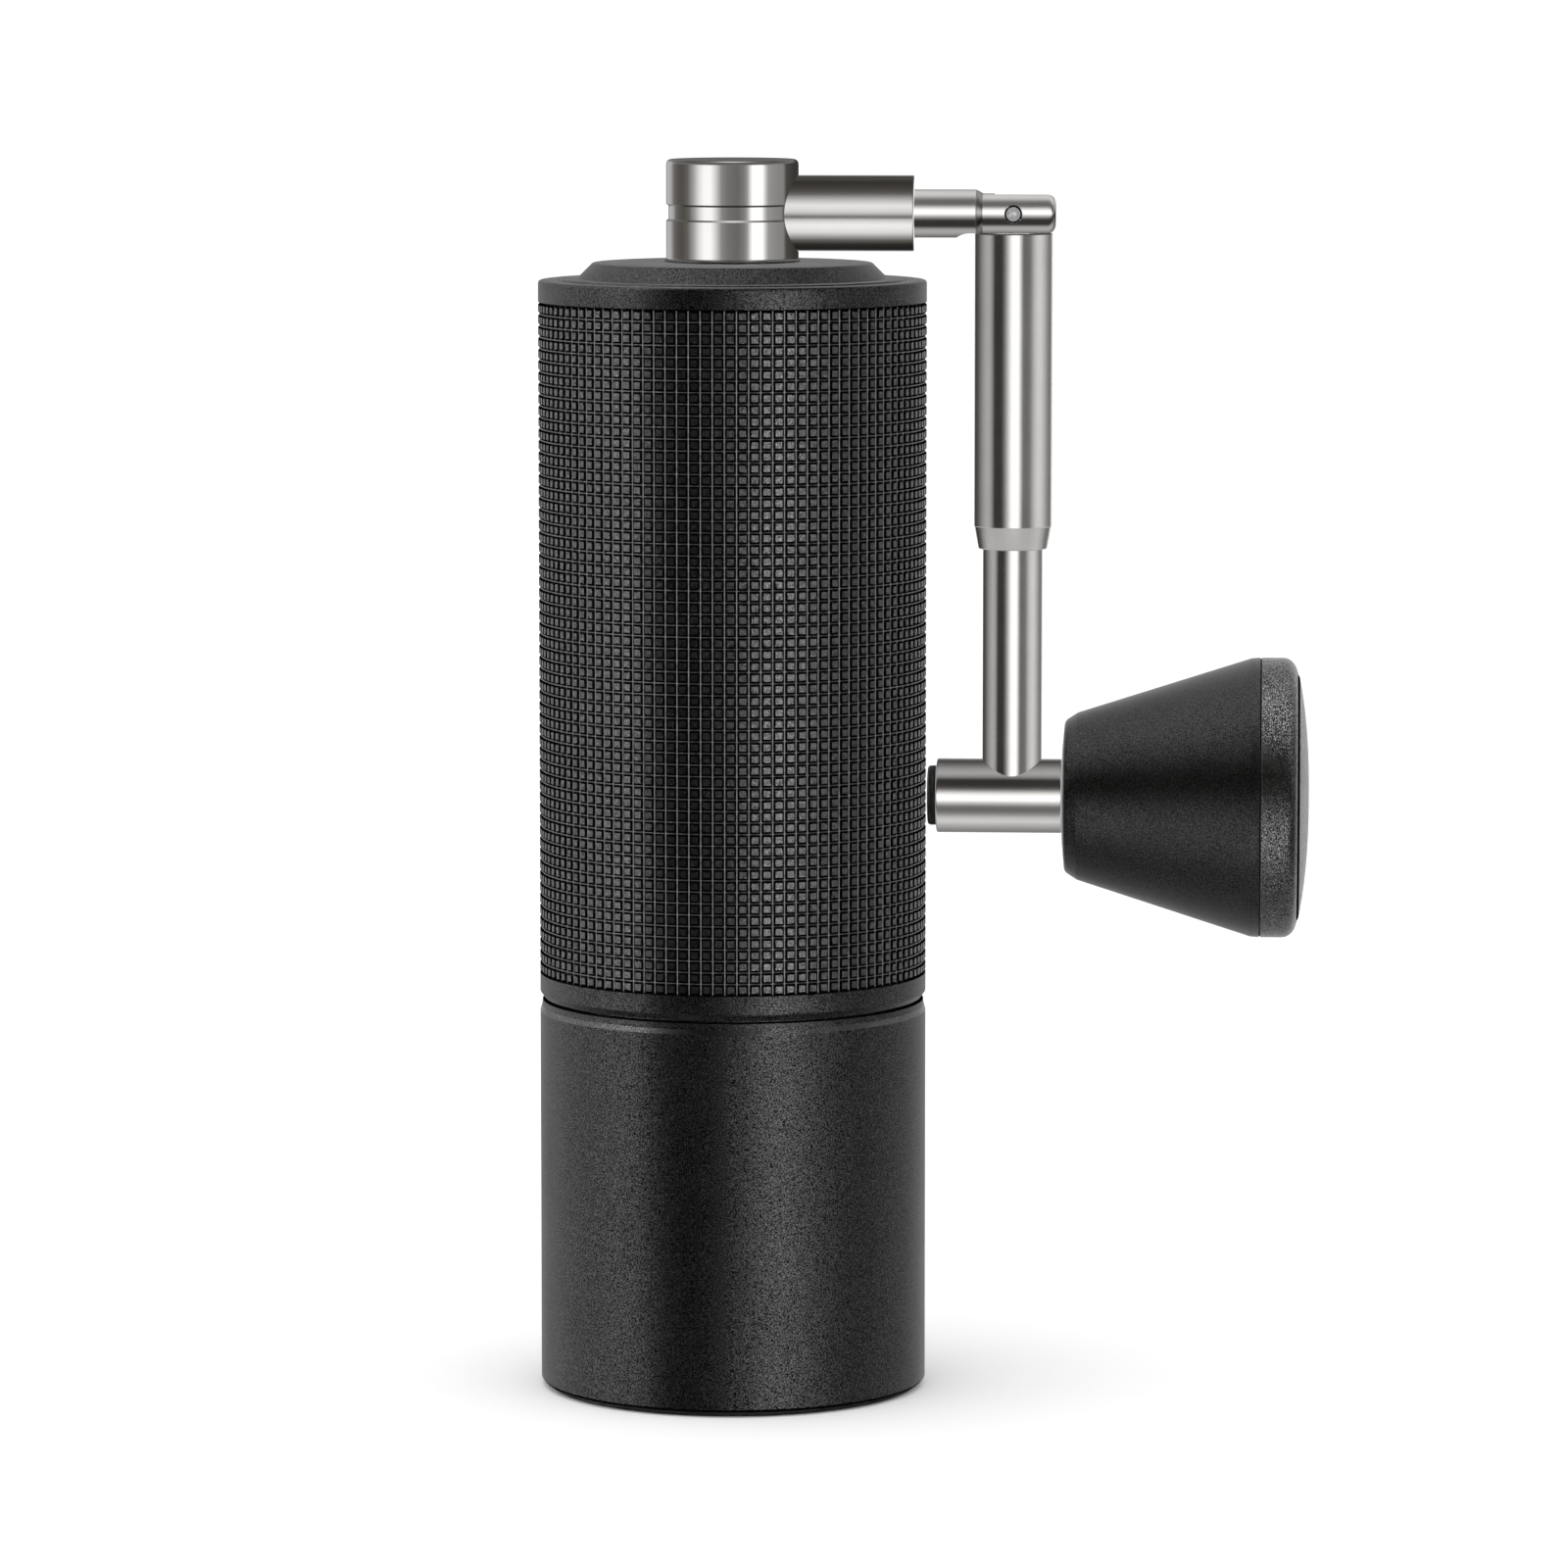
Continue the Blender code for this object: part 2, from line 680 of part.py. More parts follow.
def make_fork():
    """Stub that carries the arm: a round bar, necked down and slotted into a fork."""
    nose = 0.0011
    profile = [
        (0.0, FORK_END_X),
        (FORK_R - nose, FORK_END_X),
        (FORK_R - 0.3 * nose, FORK_END_X - 0.3 * nose),
        (FORK_R, FORK_END_X - nose),
        (FORK_R, FORK_ROOT_X + 0.0007),
        (STUB_R, FORK_ROOT_X),
        (STUB_R, 0.0050),
        (0.0, 0.0050),
    ]
    fork = lay_along_x(turned("fork_rod", profile, STAINLESS, 32, closed=False), CRANK_Z)
    slot_root = PIN_X - TONGUE_R - 0.0004
    slot = box("fork_slot", (slot_root, -SLOT_HALF, CRANK_Z - 0.01), (0.06, SLOT_HALF, CRANK_Z + 0.01))
    hole = turned("fork_pin_hole", rod(PIN_R + THIN_GAP, -0.01, 0.01), sides=20, closed=False, helper=True)
    hole.rotation_euler.x = math.pi / 2
    hole.location = (PIN_X, 0.0, CRANK_Z)
    # The flat clears the sleeve's rim when the arm is folded.
    flat = box("fork_flat", (FORK_ROOT_X - 0.0030, -0.01, CRANK_Z - 0.01), (0.06, 0.01, CRANK_Z - FLAT_DROP))
    cut(fork, slot, hole, flat)


def make_hinge_pin():
    section = rod(PIN_R, -FORK_R + 0.0001, FORK_R - 0.0001, 0.0002)
    pin = turned("hinge_pin", section, STAINLESS, 20, closed=False)
    pin.rotation_euler.x = math.pi / 2
    pin.location = (PIN_X, 0.0, CRANK_Z)


# ---- Folding arm --------------------------------------------------------------------------
def make_arm_rod():
    """Arm that hangs from the pin by a flat tongue, and is coped to the cross tube."""
    shoulder_z = CRANK_Z - SHOULDER_DROP
    profile = [
        (0.0, shoulder_z),
        (THIN_ROD_R - 0.0003, shoulder_z),
        (THIN_ROD_R, shoulder_z - 0.0003),
        (THIN_ROD_R, ROD_STEP_Z),
        (ROD_R, ROD_STEP_Z),
        (ROD_R, KNOB_Z),
        (0.0, KNOB_Z),
    ]
    arm = turned("arm_rod", profile, STAINLESS, 32, closed=False)
    arm.location.x = PIN_X
    tongue = box(
        "arm_tongue",
        (PIN_X - TONGUE_R + 0.0001, -TONGUE_HALF, shoulder_z - 0.001),
        (PIN_X + TONGUE_R - 0.0001, TONGUE_HALF, CRANK_Z - 0.0004),
    )
    eye = turned("tongue_eye", rod(TONGUE_R, -EYE_HALF, EYE_HALF), closed=False, helper=True)
    hole = turned("tongue_hole", rod(PIN_R + THIN_GAP, -0.01, 0.01), sides=20, closed=False, helper=True)
    for piece in (eye, hole):
        piece.rotation_euler.x = math.pi / 2
        piece.location = (PIN_X, 0.0, CRANK_Z)
    cope = turned("rod_cope", rod(CROSS_R + THIN_GAP, 0.0, 0.08), sides=ROUND, closed=False, helper=True)
    lay_along_x(cope, KNOB_Z)
    join(arm, tongue, eye)
    cut(arm, hole, cope)


def make_lock_sleeve():
    """Sliding sleeve that slips over the hinge to hold the arm straight."""
    profile = [
        (SLEEVE_BORE_R, SLEEVE_TOP_Z),
        (SLEEVE_R - 0.0002, SLEEVE_TOP_Z),
        (SLEEVE_R, SLEEVE_TOP_Z - 0.0002),
        (SLEEVE_R, TAPER_Z),
        (TAPER_R, SLEEVE_LOW_Z),
        (ROD_R + 0.00012, SLEEVE_LOW_Z),
        (ROD_R + 0.00012, SLEEVE_STEP_Z),
        (SLEEVE_BORE_R, SLEEVE_STEP_Z),
    ]
    sleeve = turned("lock_sleeve", profile, STAINLESS, 32)
    sleeve.location.x = PIN_X


def make_lock_spring():
    low, high = ROD_STEP_Z + THIN_GAP, SLEEVE_STEP_Z - THIN_GAP
    spring = coil("lock_spring", 0.0036, 0.0007, low, high, 7.0, BEARING_STEEL)
    spring.location.x = PIN_X


def make_cross_tube():
    """Tube across the arm's end: the knob's spindle is fixed in one end, the bumper in the other."""
    bore = SPINDLE_R + THIN_GAP
    profile = [
        (bore, CROSS_END_X),
        (CROSS_R, CROSS_END_X),
        (CROSS_R, CROSS_X + 0.0002),
        (CROSS_R - 0.0002, CROSS_X),
        (bore, CROSS_X),
    ]
    lay_along_x(turned("cross_tube", profile, STAINLESS, ROUND), KNOB_Z)


def make_bumper():
    """Rubber plug that rests against the body when the arm is folded."""
    stem = SPINDLE_R - THIN_GAP
    profile = [
        (0.0, 0.0325),
        (stem, 0.0325),
        (stem, CROSS_X - THIN_GAP),
        (BUMPER_R, CROSS_X - THIN_GAP),
        (BUMPER_R, BUMPER_X + 0.0004),
        (BUMPER_R - 0.0005, BUMPER_X),
        (0.0, BUMPER_X),
    ]
    lay_along_x(turned("bumper", profile, SOFT_RUBBER, SMALL, closed=False), KNOB_Z)


def make_spindle():
    end_x = 0.0660
    profile = [
        (0.0, end_x),
        (SPINDLE_R - 0.0003, end_x),
        (SPINDLE_R, end_x - 0.0003),
        (SPINDLE_R, 0.0330),
        (0.0, 0.0330),
    ]
    spindle = lay_along_x(turned("knob_spindle", profile, STAINLESS, SMALL, closed=False), KNOB_Z)
    thread = turned("spindle_thread", rod(0.0014, 0.0590, 0.0700), sides=16, closed=False, helper=True)
    cut(spindle, lay_along_x(thread, KNOB_Z))
    section = ring(0.0015, 0.0048, end_x + THIN_GAP, end_x + 0.0009)
    lay_along_x(turned("knob_washer", section, BEARING_STEEL, SMALL), KNOB_Z)
    low = end_x + 0.0010
    screw_profile = [
        (0.0, low + 0.0016),
        (0.0020, low + 0.0016),
        (0.0026, low + 0.0008),
        (0.0026, low),
        (0.0012, low),
        (0.0012, 0.0600),
        (0.0, 0.0600),
    ]
    screw = turned("knob_screw", screw_profile, STAINLESS, SMALL, closed=False)
    lay_along_x(screw, KNOB_Z)
    cut(screw, screw_recess(low))


def screw_recess(low):
    """Hexagonal recess in the knob screw's head."""
    return lay_along_x(prism("screw_recess", 0.0020, low + 0.0004, low + 0.0040), KNOB_Z)


# ---- Knob ---------------------------------------------------------------------------------
def make_knob():
    """Conical grip, hollow behind its cap, with a seat for a bush at each end of its bore."""
    bush_r = 0.0042
    profile = [
        (0.0166, SEAM_X - THIN_GAP),
        (KNOB_BIG_R, SEAM_X - THIN_GAP),
        (KNOB_BIG_R - 0.0001, SEAM_X - 0.0013),
        (KNOB_SMALL_R, KNOB_X + 0.0013),
        (KNOB_SMALL_R - 0.0010, KNOB_X + 0.0004),
        (KNOB_SMALL_R - 0.0035, KNOB_X),
        (bush_r, KNOB_X),
        (bush_r, 0.0656),
        (0.0064, 0.0656),
        (0.0070, 0.0540),
        (0.0105, 0.0540),
    ]
    lay_along_x(turned("knob_body", profile, BLACK_PLASTIC, FINE), KNOB_Z)
    for name, low in (("knob_bush_near", KNOB_X + 0.0003), ("knob_bush_far", 0.0596)):
        section = ring(SPINDLE_R + THIN_GAP, bush_r - THIN_GAP, low, low + 0.0060)
        lay_along_x(turned(name, section, BRASS_METAL, SMALL), KNOB_Z)


def make_knob_cap():
    """Cap that closes the knob, with a rounded edge round a shallow dome."""
    dome = CAP_END_X - CAP_EDGE_X
    profile = []
    for share in (0.0, 0.45, 0.8, 1.0):
        profile.append((CAP_FACE_R * share, CAP_END_X - dome * share**2.4))
    edge = KNOB_BIG_R - CAP_FACE_R
    for degrees in (25, 50, 75, 90):
        angle = math.radians(degrees)
        profile.append((CAP_FACE_R + edge * math.sin(angle), CAP_EDGE_X - 0.0018 * (1 - math.cos(angle))))
    profile += [
        (KNOB_BIG_R, SEAM_X + THIN_GAP),
        (0.0163, SEAM_X + THIN_GAP),
        (0.0155, SEAM_X - 0.0030),
        (0.0145, SEAM_X - 0.0030),
        (0.0140, SEAM_X + 0.0012),
        (0.0, SEAM_X + 0.0026),
    ]
    lay_along_x(turned("knob_cap", profile, BLACK_PLASTIC, FINE, closed=False), KNOB_Z)


# ---- Cup ----------------------------------------------------------------------------------
def make_cup():
    mouth_z = PART_Z - GAP
    profile = [
        (BODY_R - EDGE_DEPTH, mouth_z),
        (BODY_R - 0.00015, mouth_z - 0.0006),
        (BODY_R, mouth_z - 0.0014),
        (BODY_R, CUP_Z + 0.0012),
        (BODY_R - 0.0004, CUP_Z + 0.0004),
        (BODY_R - 0.0012, CUP_Z),
        (PAD_R - 0.0006, CUP_Z),
        (PAD_R - 0.0006, CUP_Z + 0.0013),
        (0.0, CUP_Z + 0.0013),
        (0.0, CUP_FLOOR_Z),
        (CUP_BORE_R - 0.0020, CUP_FLOOR_Z),
        (CUP_BORE_R, CUP_FLOOR_Z + 0.0020),
        (CUP_BORE_R, NECK_Z - 0.0010),
        (CUP_MOUTH_R - 0.0004, NECK_Z - 0.0004),
        (CUP_MOUTH_R - 0.0004, PART_Z - 0.0022),
        (CUP_MOUTH_R, PART_Z - 0.0020),
        (CUP_MOUTH_R, mouth_z),
    ]
    # The section of a cup is closed on the axis, so it starts and ends there.
    start = 9
    section = profile[start:] + profile[:start]
    turned("cup_shell", section, ANODISED, FINE, closed=False)


def make_foot_pad():
    profile = [
        (0.0, CUP_Z + 0.0010),
        (PAD_R - 0.0009, CUP_Z + 0.0010),
        (PAD_R - 0.0009, CUP_Z - THIN_GAP),
        (PAD_R, CUP_Z - THIN_GAP),
        (PAD_R, 0.0002),
        (PAD_R - 0.0002, 0.0),
        (0.0, 0.0),
    ]
    turned("foot_pad", profile, SOFT_RUBBER, FINE, closed=False)


# ---- Assembly -----------------------------------------------------------------------------
BODY_AXIS = (0.0, 0.0, 0.0)
KNOB_AXIS = (0.0, 0.0, KNOB_Z)
HINGE = (PIN_X, 0.0, CRANK_Z)

# Each moving body: the point on its joint's axis, its parent body and its parts.
MOVING = {
    "drive_pivot": (
        BODY_AXIS,
        None,
        "drive_shaft spacer_tube shaft_clip end_nut burr_spring "
        "upper_bearing_inner_race lower_bearing_inner_race",
    ),
    "crank_pivot": (BODY_AXIS, "drive_pivot", "crank_hub arm_collar fork_rod hinge_pin hub_washer lid_clip"),
    "lid_pivot": (BODY_AXIS, None, "lid lid_seal"),
    "hinge_pivot": (
        HINGE,
        "crank_pivot",
        "arm_rod lock_spring cross_tube bumper knob_spindle knob_washer knob_screw",
    ),
    "sleeve_pivot": (HINGE, "hinge_pivot", "lock_sleeve"),
    "knob_pivot": (KNOB_AXIS, "hinge_pivot", "knob_body knob_cap knob_bush_near knob_bush_far"),
    "burr_pivot": (BODY_AXIS, "drive_pivot", "inner_burr click_ball click_spring"),
    "dial_pivot": (BODY_AXIS, "burr_pivot", "adjust_dial"),
    "cup_pivot": (BODY_AXIS, None, "cup_shell foot_pad"),
}


def hang(obj, parent):
    """Parents an object and leaves it where it stands."""
    obj.parent = parent
    obj.matrix_parent_inverse = parent.matrix_world.inverted()


def add_pivots():
    """An empty on each joint's axis carries the parts that move about it."""
    pivots = {}
    for name, (place, parent, parts) in MOVING.items():
        pivot = bpy.data.objects.new(name, None)
        pivot.empty_display_size = 0.01
        pivot.location = place
        PARTS.objects.link(pivot)
        pivots[name] = pivot
        bpy.context.view_layer.update()
        if parent:
            hang(pivot, pivots[parent])
        for part in parts.split():
            hang(bpy.data.objects[part], pivot)


def finish_meshes():
    """Applies the modifiers, and shades the round sides smooth with their edges left sharp."""
    bpy.context.view_layer.update()
    graph = bpy.context.evaluated_depsgraph_get()
    solids = [obj for obj in PARTS.objects if obj.type == "MESH"]
    finished = [bpy.data.meshes.new_from_object(obj.evaluated_get(graph)) for obj in solids]
    for obj, mesh in zip(solids, finished):
        mesh.name = obj.name
        mesh.shade_smooth()
        mesh.set_sharp_from_angle(angle=math.radians(31))
        obj.modifiers.clear()
        obj.data = mesh


make_shell()
make_neck_seal()
make_upper_bridge()
make_burr_frame()
make_burr_screws()
make_funnel()
make_ring_burr()
make_shaft()
make_shaft_clip()
make_bearing("upper_bearing", UPPER_BEARING_Z)
make_bearing("lower_bearing", LOWER_BEARING_Z)
make_spacer()
make_inner_burr()
make_burr_spring()
make_click_stop()
make_dial()
make_end_nut()
make_lid()
make_hub()
make_collar()
make_fork()
make_hinge_pin()
make_arm_rod()
make_lock_sleeve()
make_lock_spring()
make_cross_tube()
make_bumper()
make_spindle()
make_knob()
make_knob_cap()
make_cup()
make_foot_pad()
finish_meshes()
add_pivots()
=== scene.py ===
import math

import bmesh
import bpy
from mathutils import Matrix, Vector


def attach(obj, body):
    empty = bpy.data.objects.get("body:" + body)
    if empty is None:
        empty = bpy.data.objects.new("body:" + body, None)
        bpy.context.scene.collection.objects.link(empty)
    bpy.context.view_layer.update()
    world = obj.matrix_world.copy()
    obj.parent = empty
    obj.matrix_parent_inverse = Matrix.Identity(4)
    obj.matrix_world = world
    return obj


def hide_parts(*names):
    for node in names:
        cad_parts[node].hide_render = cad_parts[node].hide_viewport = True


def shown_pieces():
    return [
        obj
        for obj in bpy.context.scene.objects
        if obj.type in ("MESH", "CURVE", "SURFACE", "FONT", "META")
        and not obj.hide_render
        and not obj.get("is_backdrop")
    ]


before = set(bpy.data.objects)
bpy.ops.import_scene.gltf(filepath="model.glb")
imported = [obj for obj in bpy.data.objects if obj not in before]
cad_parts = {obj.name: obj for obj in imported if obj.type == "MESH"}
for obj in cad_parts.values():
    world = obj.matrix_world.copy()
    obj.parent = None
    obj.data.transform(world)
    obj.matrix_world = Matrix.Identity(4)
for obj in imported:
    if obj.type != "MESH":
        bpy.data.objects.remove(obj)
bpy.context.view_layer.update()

# ---- Dimensions, in metres, as in the CAD model -------------------------------------------
BODY_R = 0.0260
RIM_Z = 0.1494
PART_Z = 0.0530
RIM_BORE_R = 0.02345
LEDGE_Z = 0.1472
CHAMBER_R = 0.0226
NECK_R = 0.0236
NECK_BORE_R = 0.0220
NECK_Z = 0.0450
SEAT_Z = 0.0840
KNURL_LOW = 0.05639
KNURL_HIGH = 0.14646
KNURL_COLUMNS = 102
KNURL_ROWS = 59
KNURL_DEPTH = 0.00024
KNURL_WALL = 0.00027
KNURL_LINE = 0.00013
LID_R = 0.0231
LID_TOP_Z = 0.1496
PLATFORM_Z = 0.1517
LID_BOTTOM_Z = 0.1430
HUB_R = 0.00885
HUB_Z = 0.1522
HUB_TOP_Z = 0.1655
HUB_NECK_R = 0.0065
HUB_NECK_Z = 0.1445
CRANK_Z = 0.1583
COLLAR_R = 0.0051
COLLAR_END_X = 0.0244
STUB_R = 0.00323
FORK_R = 0.00272
FORK_ROOT_X = 0.0328
FORK_END_X = 0.0432
PIN_X = 0.0376
PIN_R = 0.0011
FLAT_DROP = 0.00258
ROD_R = 0.0040
THIN_ROD_R = 0.0029
SLEEVE_R = 0.0052
SLEEVE_TOP_Z = 0.15570
SLEEVE_LOW_Z = 0.1136
TAPER_Z = 0.1166
TAPER_R = 0.0046
KNOB_Z = 0.0803
CROSS_R = 0.0050
CROSS_X = 0.0275
CROSS_END_X = 0.0443
KNOB_X = 0.0444
KNOB_SMALL_R = 0.01095
KNOB_BIG_R = 0.01875
SEAM_X = 0.0709
SEAM_FLOOR_R = 0.01862
SEAM_LIP_R = 0.01868
CAP_EDGE_X = 0.0761
CAP_FACE_R = 0.0161
CAP_END_X = 0.0774
CUP_Z = 0.0006
PAD_R = 0.0249
SPINDLE_R = 0.0030

scene = bpy.context.scene
scene.view_settings.view_transform = "Standard"
scene.view_settings.look = "None"


# ---- Materials ----------------------------------------------------------------------------
class Nodes:
    """Small helper for a material's node tree."""

    def __init__(self, name):
        self.material = bpy.data.materials.new(name)
        self.material.use_nodes = True
        self.tree = self.material.node_tree
        self.shader = self.tree.nodes["Principled BSDF"]

    def node(self, kind, **settings):
        node = self.tree.nodes.new(kind)
        for key, value in settings.items():
            if key in node.inputs:
                node.inputs[key].default_value = value
            else:
                setattr(node, key, value)
        return node

    def link(self, source, target):
        self.tree.links.new(source, target)

    def coords(self, stretch=(1, 1, 1)):
        place = self.node("ShaderNodeTexCoord")
        mapping = self.node("ShaderNodeMapping", Scale=stretch)
        self.link(place.outputs["Object"], mapping.inputs["Vector"])
        return mapping.outputs["Vector"]

    def noise(self, scale, detail=2.0, stretch=(1, 1, 1), rough=0.5):
        noise = self.node("ShaderNodeTexNoise", Scale=scale, Detail=detail, Roughness=rough)
        self.link(self.coords(stretch), noise.inputs["Vector"])
        return noise.outputs["Fac"]

    def span(self, source, low, high, from_low=0.3, from_high=0.7):
        """Spreads a noise value over a range."""
        node = self.node("ShaderNodeMapRange")
        for key, value in (
            ("From Min", from_low),
            ("From Max", from_high),
            ("To Min", low),
            ("To Max", high),
        ):
            node.inputs[key].default_value = value
        self.link(source, node.inputs["Value"])
        return node.outputs["Result"]

    def ramp(self, source, *stops):
        node = self.node("ShaderNodeValToRGB")
        elements = node.color_ramp.elements
        elements[0].position, elements[0].color = stops[0][0], stops[0][1]
        elements[1].position, elements[1].color = stops[-1][0], stops[-1][1]
        for position, colour in stops[1:-1]:
            elements.new(position).color = colour
        self.link(source, node.inputs["Fac"])
        return node.outputs["Color"]

    def bump(self, height, strength, distance, normal=None):
        node = self.node("ShaderNodeBump", Strength=strength, Distance=distance)
        self.link(height, node.inputs["Height"])
        if normal:
            self.link(normal, node.inputs["Normal"])
        self.link(node.outputs["Normal"], self.shader.inputs["Normal"])
        return node.outputs["Normal"]


def grey(value, warm=0.0):
    return (value * (1 + warm), value, value * (1 - warm), 1.0)


def blasted(name, tone, rough, grain=0.17, spread=1.0, bump=0.2):
    """Black surface over a fine bead blast: every pit throws back a little more or less light."""
    n = Nodes(name)
    n.shader.inputs["Metallic"].default_value = 1.0
    pits = n.noise(1000 / grain, 1.0, rough=0.5)
    cloud = n.noise(90, 3.0)
    base = n.ramp(
        pits,
        (0.34, grey(tone * (1 - spread))),
        (0.50, grey(tone)),
        (0.68, grey(tone * (1 + 1.8 * spread))),
    )
    edges = n.node("ShaderNodeNewGeometry")
    worn = n.ramp(edges.outputs["Pointiness"], (0.52, grey(0.0)), (0.60, grey(1.0)))
    mix = n.node("ShaderNodeMix", data_type="RGBA")
    n.link(worn, mix.inputs["Factor"])
    n.link(base, mix.inputs["A"])
    mix.inputs["B"].default_value = grey(tone * 1.5)
    n.link(mix.outputs["Result"], n.shader.inputs["Base Color"])
    n.link(n.span(cloud, rough - 0.02, rough + 0.02), n.shader.inputs["Roughness"])
    n.bump(pits, bump, 0.00005)
    return n.material


def groove(name, tone, glow, rough, metallic=0.0):
    """Bottom and sides of the grip's grooves, and gaps: glow is what they scatter (painted shade
    when near black, painted highlight when light), tone what they reflect.
    """
    n = Nodes(name)
    n.shader.inputs["Specular IOR Level"].default_value = tone
    n.shader.inputs["Metallic"].default_value = metallic
    fine = n.noise(2600, 1.0)
    base = n.ramp(fine, (0.3, grey(glow * 0.6)), (0.7, grey(glow * 1.4)))
    n.link(base, n.shader.inputs["Base Color"])
    n.shader.inputs["Roughness"].default_value = rough
    return n.material


def turned_metal(name, tone, rough, axis="Z", bump=0.10, warm=0.022, lines=9000, coarse=0.0):
    """Turned and polished metal: fine rings round the axis, and faint stains."""
    n = Nodes(name)
    n.shader.inputs["Metallic"].default_value = 1.0
    stretch = {"Z": (0.02, 0.02, 1), "X": (1, 0.02, 0.02), "Y": (0.02, 1, 0.02)}[axis]
    rings = n.noise(lines, 2.0, stretch)
    stain = n.noise(120, 4.0)
    base = n.ramp(stain, (0.35, grey(tone * 0.95, warm)), (0.65, grey(tone, warm)))
    n.link(base, n.shader.inputs["Base Color"])
    blend = n.node("ShaderNodeMath", operation="MULTIPLY_ADD")
    n.link(n.span(rings, 0.0, 0.05), blend.inputs[0])
    blend.inputs[1].default_value = 1.0
    n.link(n.span(stain, rough - 0.02, rough + 0.03), blend.inputs[2])
    n.link(blend.outputs[0], n.shader.inputs["Roughness"])
    normal = n.bump(rings, bump, 0.000004)
    if coarse:
        threads = n.noise(lines / 6, 1.0, stretch)
        n.bump(threads, coarse, 0.00002, normal)
    return n.material


def faced_metal(name, tone, rough, bump=0.2):
    """Metal faced on a lathe: fine circles round the axis on a flat end."""
    n = Nodes(name)
    n.shader.inputs["Metallic"].default_value = 1.0
    wave = n.node("ShaderNodeTexWave", wave_type="RINGS", rings_direction="SPHERICAL")
    wave.inputs["Scale"].default_value = 900
    wave.inputs["Distortion"].default_value = 3.0
    wave.inputs["Detail Scale"].default_value = 2.0
    n.link(n.coords(), wave.inputs["Vector"])
    base = n.ramp(wave.outputs["Fac"], (0.1, grey(tone * 0.5)), (0.9, grey(tone)))
    n.link(base, n.shader.inputs["Base Color"])
    n.link(n.span(wave.outputs["Fac"], rough, rough + 0.06, 0, 1), n.shader.inputs["Roughness"])
    n.bump(wave.outputs["Fac"], bump, 0.000003)
    return n.material


def rubber(name, tone):
    n = Nodes(name)
    n.shader.inputs["IOR"].default_value = 1.45
    fine = n.noise(6000, 3.0)
    dust = n.noise(260, 4.0)
    base = n.ramp(dust, (0.35, grey(tone)), (0.75, grey(tone * 1.9)))
    n.link(base, n.shader.inputs["Base Color"])
    n.link(n.span(dust, 0.62, 0.8), n.shader.inputs["Roughness"])
    n.bump(fine, 0.2, 0.00003)
    return n.material


def plain_metal(name, colour, rough, lines=5000):
    n = Nodes(name)
    n.shader.inputs["Metallic"].default_value = 1.0
    stain = n.noise(200, 4.0)
    darker = tuple(c * 0.88 for c in colour) + (1.0,)
    base = n.ramp(stain, (0.35, darker), (0.65, tuple(colour) + (1.0,)))
    n.link(base, n.shader.inputs["Base Color"])
    n.link(n.span(stain, rough - 0.03, rough + 0.05), n.shader.inputs["Roughness"])
    n.bump(n.noise(lines, 2.0), 0.08, 0.00001)
    return n.material


SHELL_BLACK = blasted("shell_black", 0.046, 0.33)
LAND_BLACK = blasted("land_black", 0.082, 0.25, spread=0.9)
# Painted shade: the grooves' walls are near black, for the shade inside the grooves.
GROOVE_WALL_SHADE = groove("groove_wall_painted_shade", 0.0, 0.001, 0.6)
# Painted highlights: the groove floors are lighter, with one copy for upright grooves and one for
# level ones, set by how the light falls on each.
GROOVE_UPRIGHT_HIGHLIGHT = groove("groove_upright_painted_highlight", 0.3, 0.170, 0.5)
GROOVE_LEVEL_HIGHLIGHT = groove("groove_level_painted_highlight", 0.3, 0.090, 0.3, metallic=0.65)
CUP_BLACK = blasted("cup_black", 0.046, 0.33)
# Painted highlight: a lighter tone on the cup's chamfered strip.
CUP_EDGE_HIGHLIGHT = blasted("cup_edge_painted_highlight", 0.110, 0.20, spread=0.5)
LID_BLACK = blasted("lid_black", 0.046, 0.34)
KNOB_BLACK = blasted("knob_black", 0.029, 0.33, spread=0.6)
CAP_BLACK = blasted("cap_black", 0.080, 0.26, grain=0.18, spread=0.8)
INNER_BLACK = blasted("inner_black", 0.055, 0.38, spread=0.4)
MOULDED = blasted("moulded_black", 0.045, 0.45, spread=0.4)
# Painted shade: near black for gaps, seams, the pin's sides and the cup's bottom edge.
GAP_SHADE = groove("gap_painted_shade", 0.0, 0.002, 0.6)
STEEL_Z = turned_metal("steel_upright", 0.60, 0.09, bump=0.04)
STEEL_X = turned_metal("steel_level", 0.60, 0.09, axis="X", bump=0.04)
STEEL_HUB = turned_metal("steel_hub", 0.60, 0.05, bump=0.04)
STEEL_TAPER = turned_metal("steel_machined", 0.50, 0.12, bump=0.15, coarse=0.3)
# Painted shade: darker steel at the fork's root, on the arm's tongue, and on the sleeve's top under
# the fork.
STEEL_SHADE = turned_metal("steel_painted_shade", 0.26, 0.14, axis="X", bump=0.05)
STEEL_FACE = faced_metal("steel_faced", 0.42, 0.16, bump=0.6)
STEEL_PLAIN = plain_metal("steel_plain", (0.56, 0.55, 0.53), 0.22)
BURR_STEEL = plain_metal("burr_steel", (0.48, 0.47, 0.46), 0.26)
BEARING = plain_metal("bearing_steel", (0.68, 0.68, 0.68), 0.12)
BRASS = plain_metal("brass", (0.62, 0.44, 0.19), 0.25)
RUBBER = rubber("rubber", 0.003)


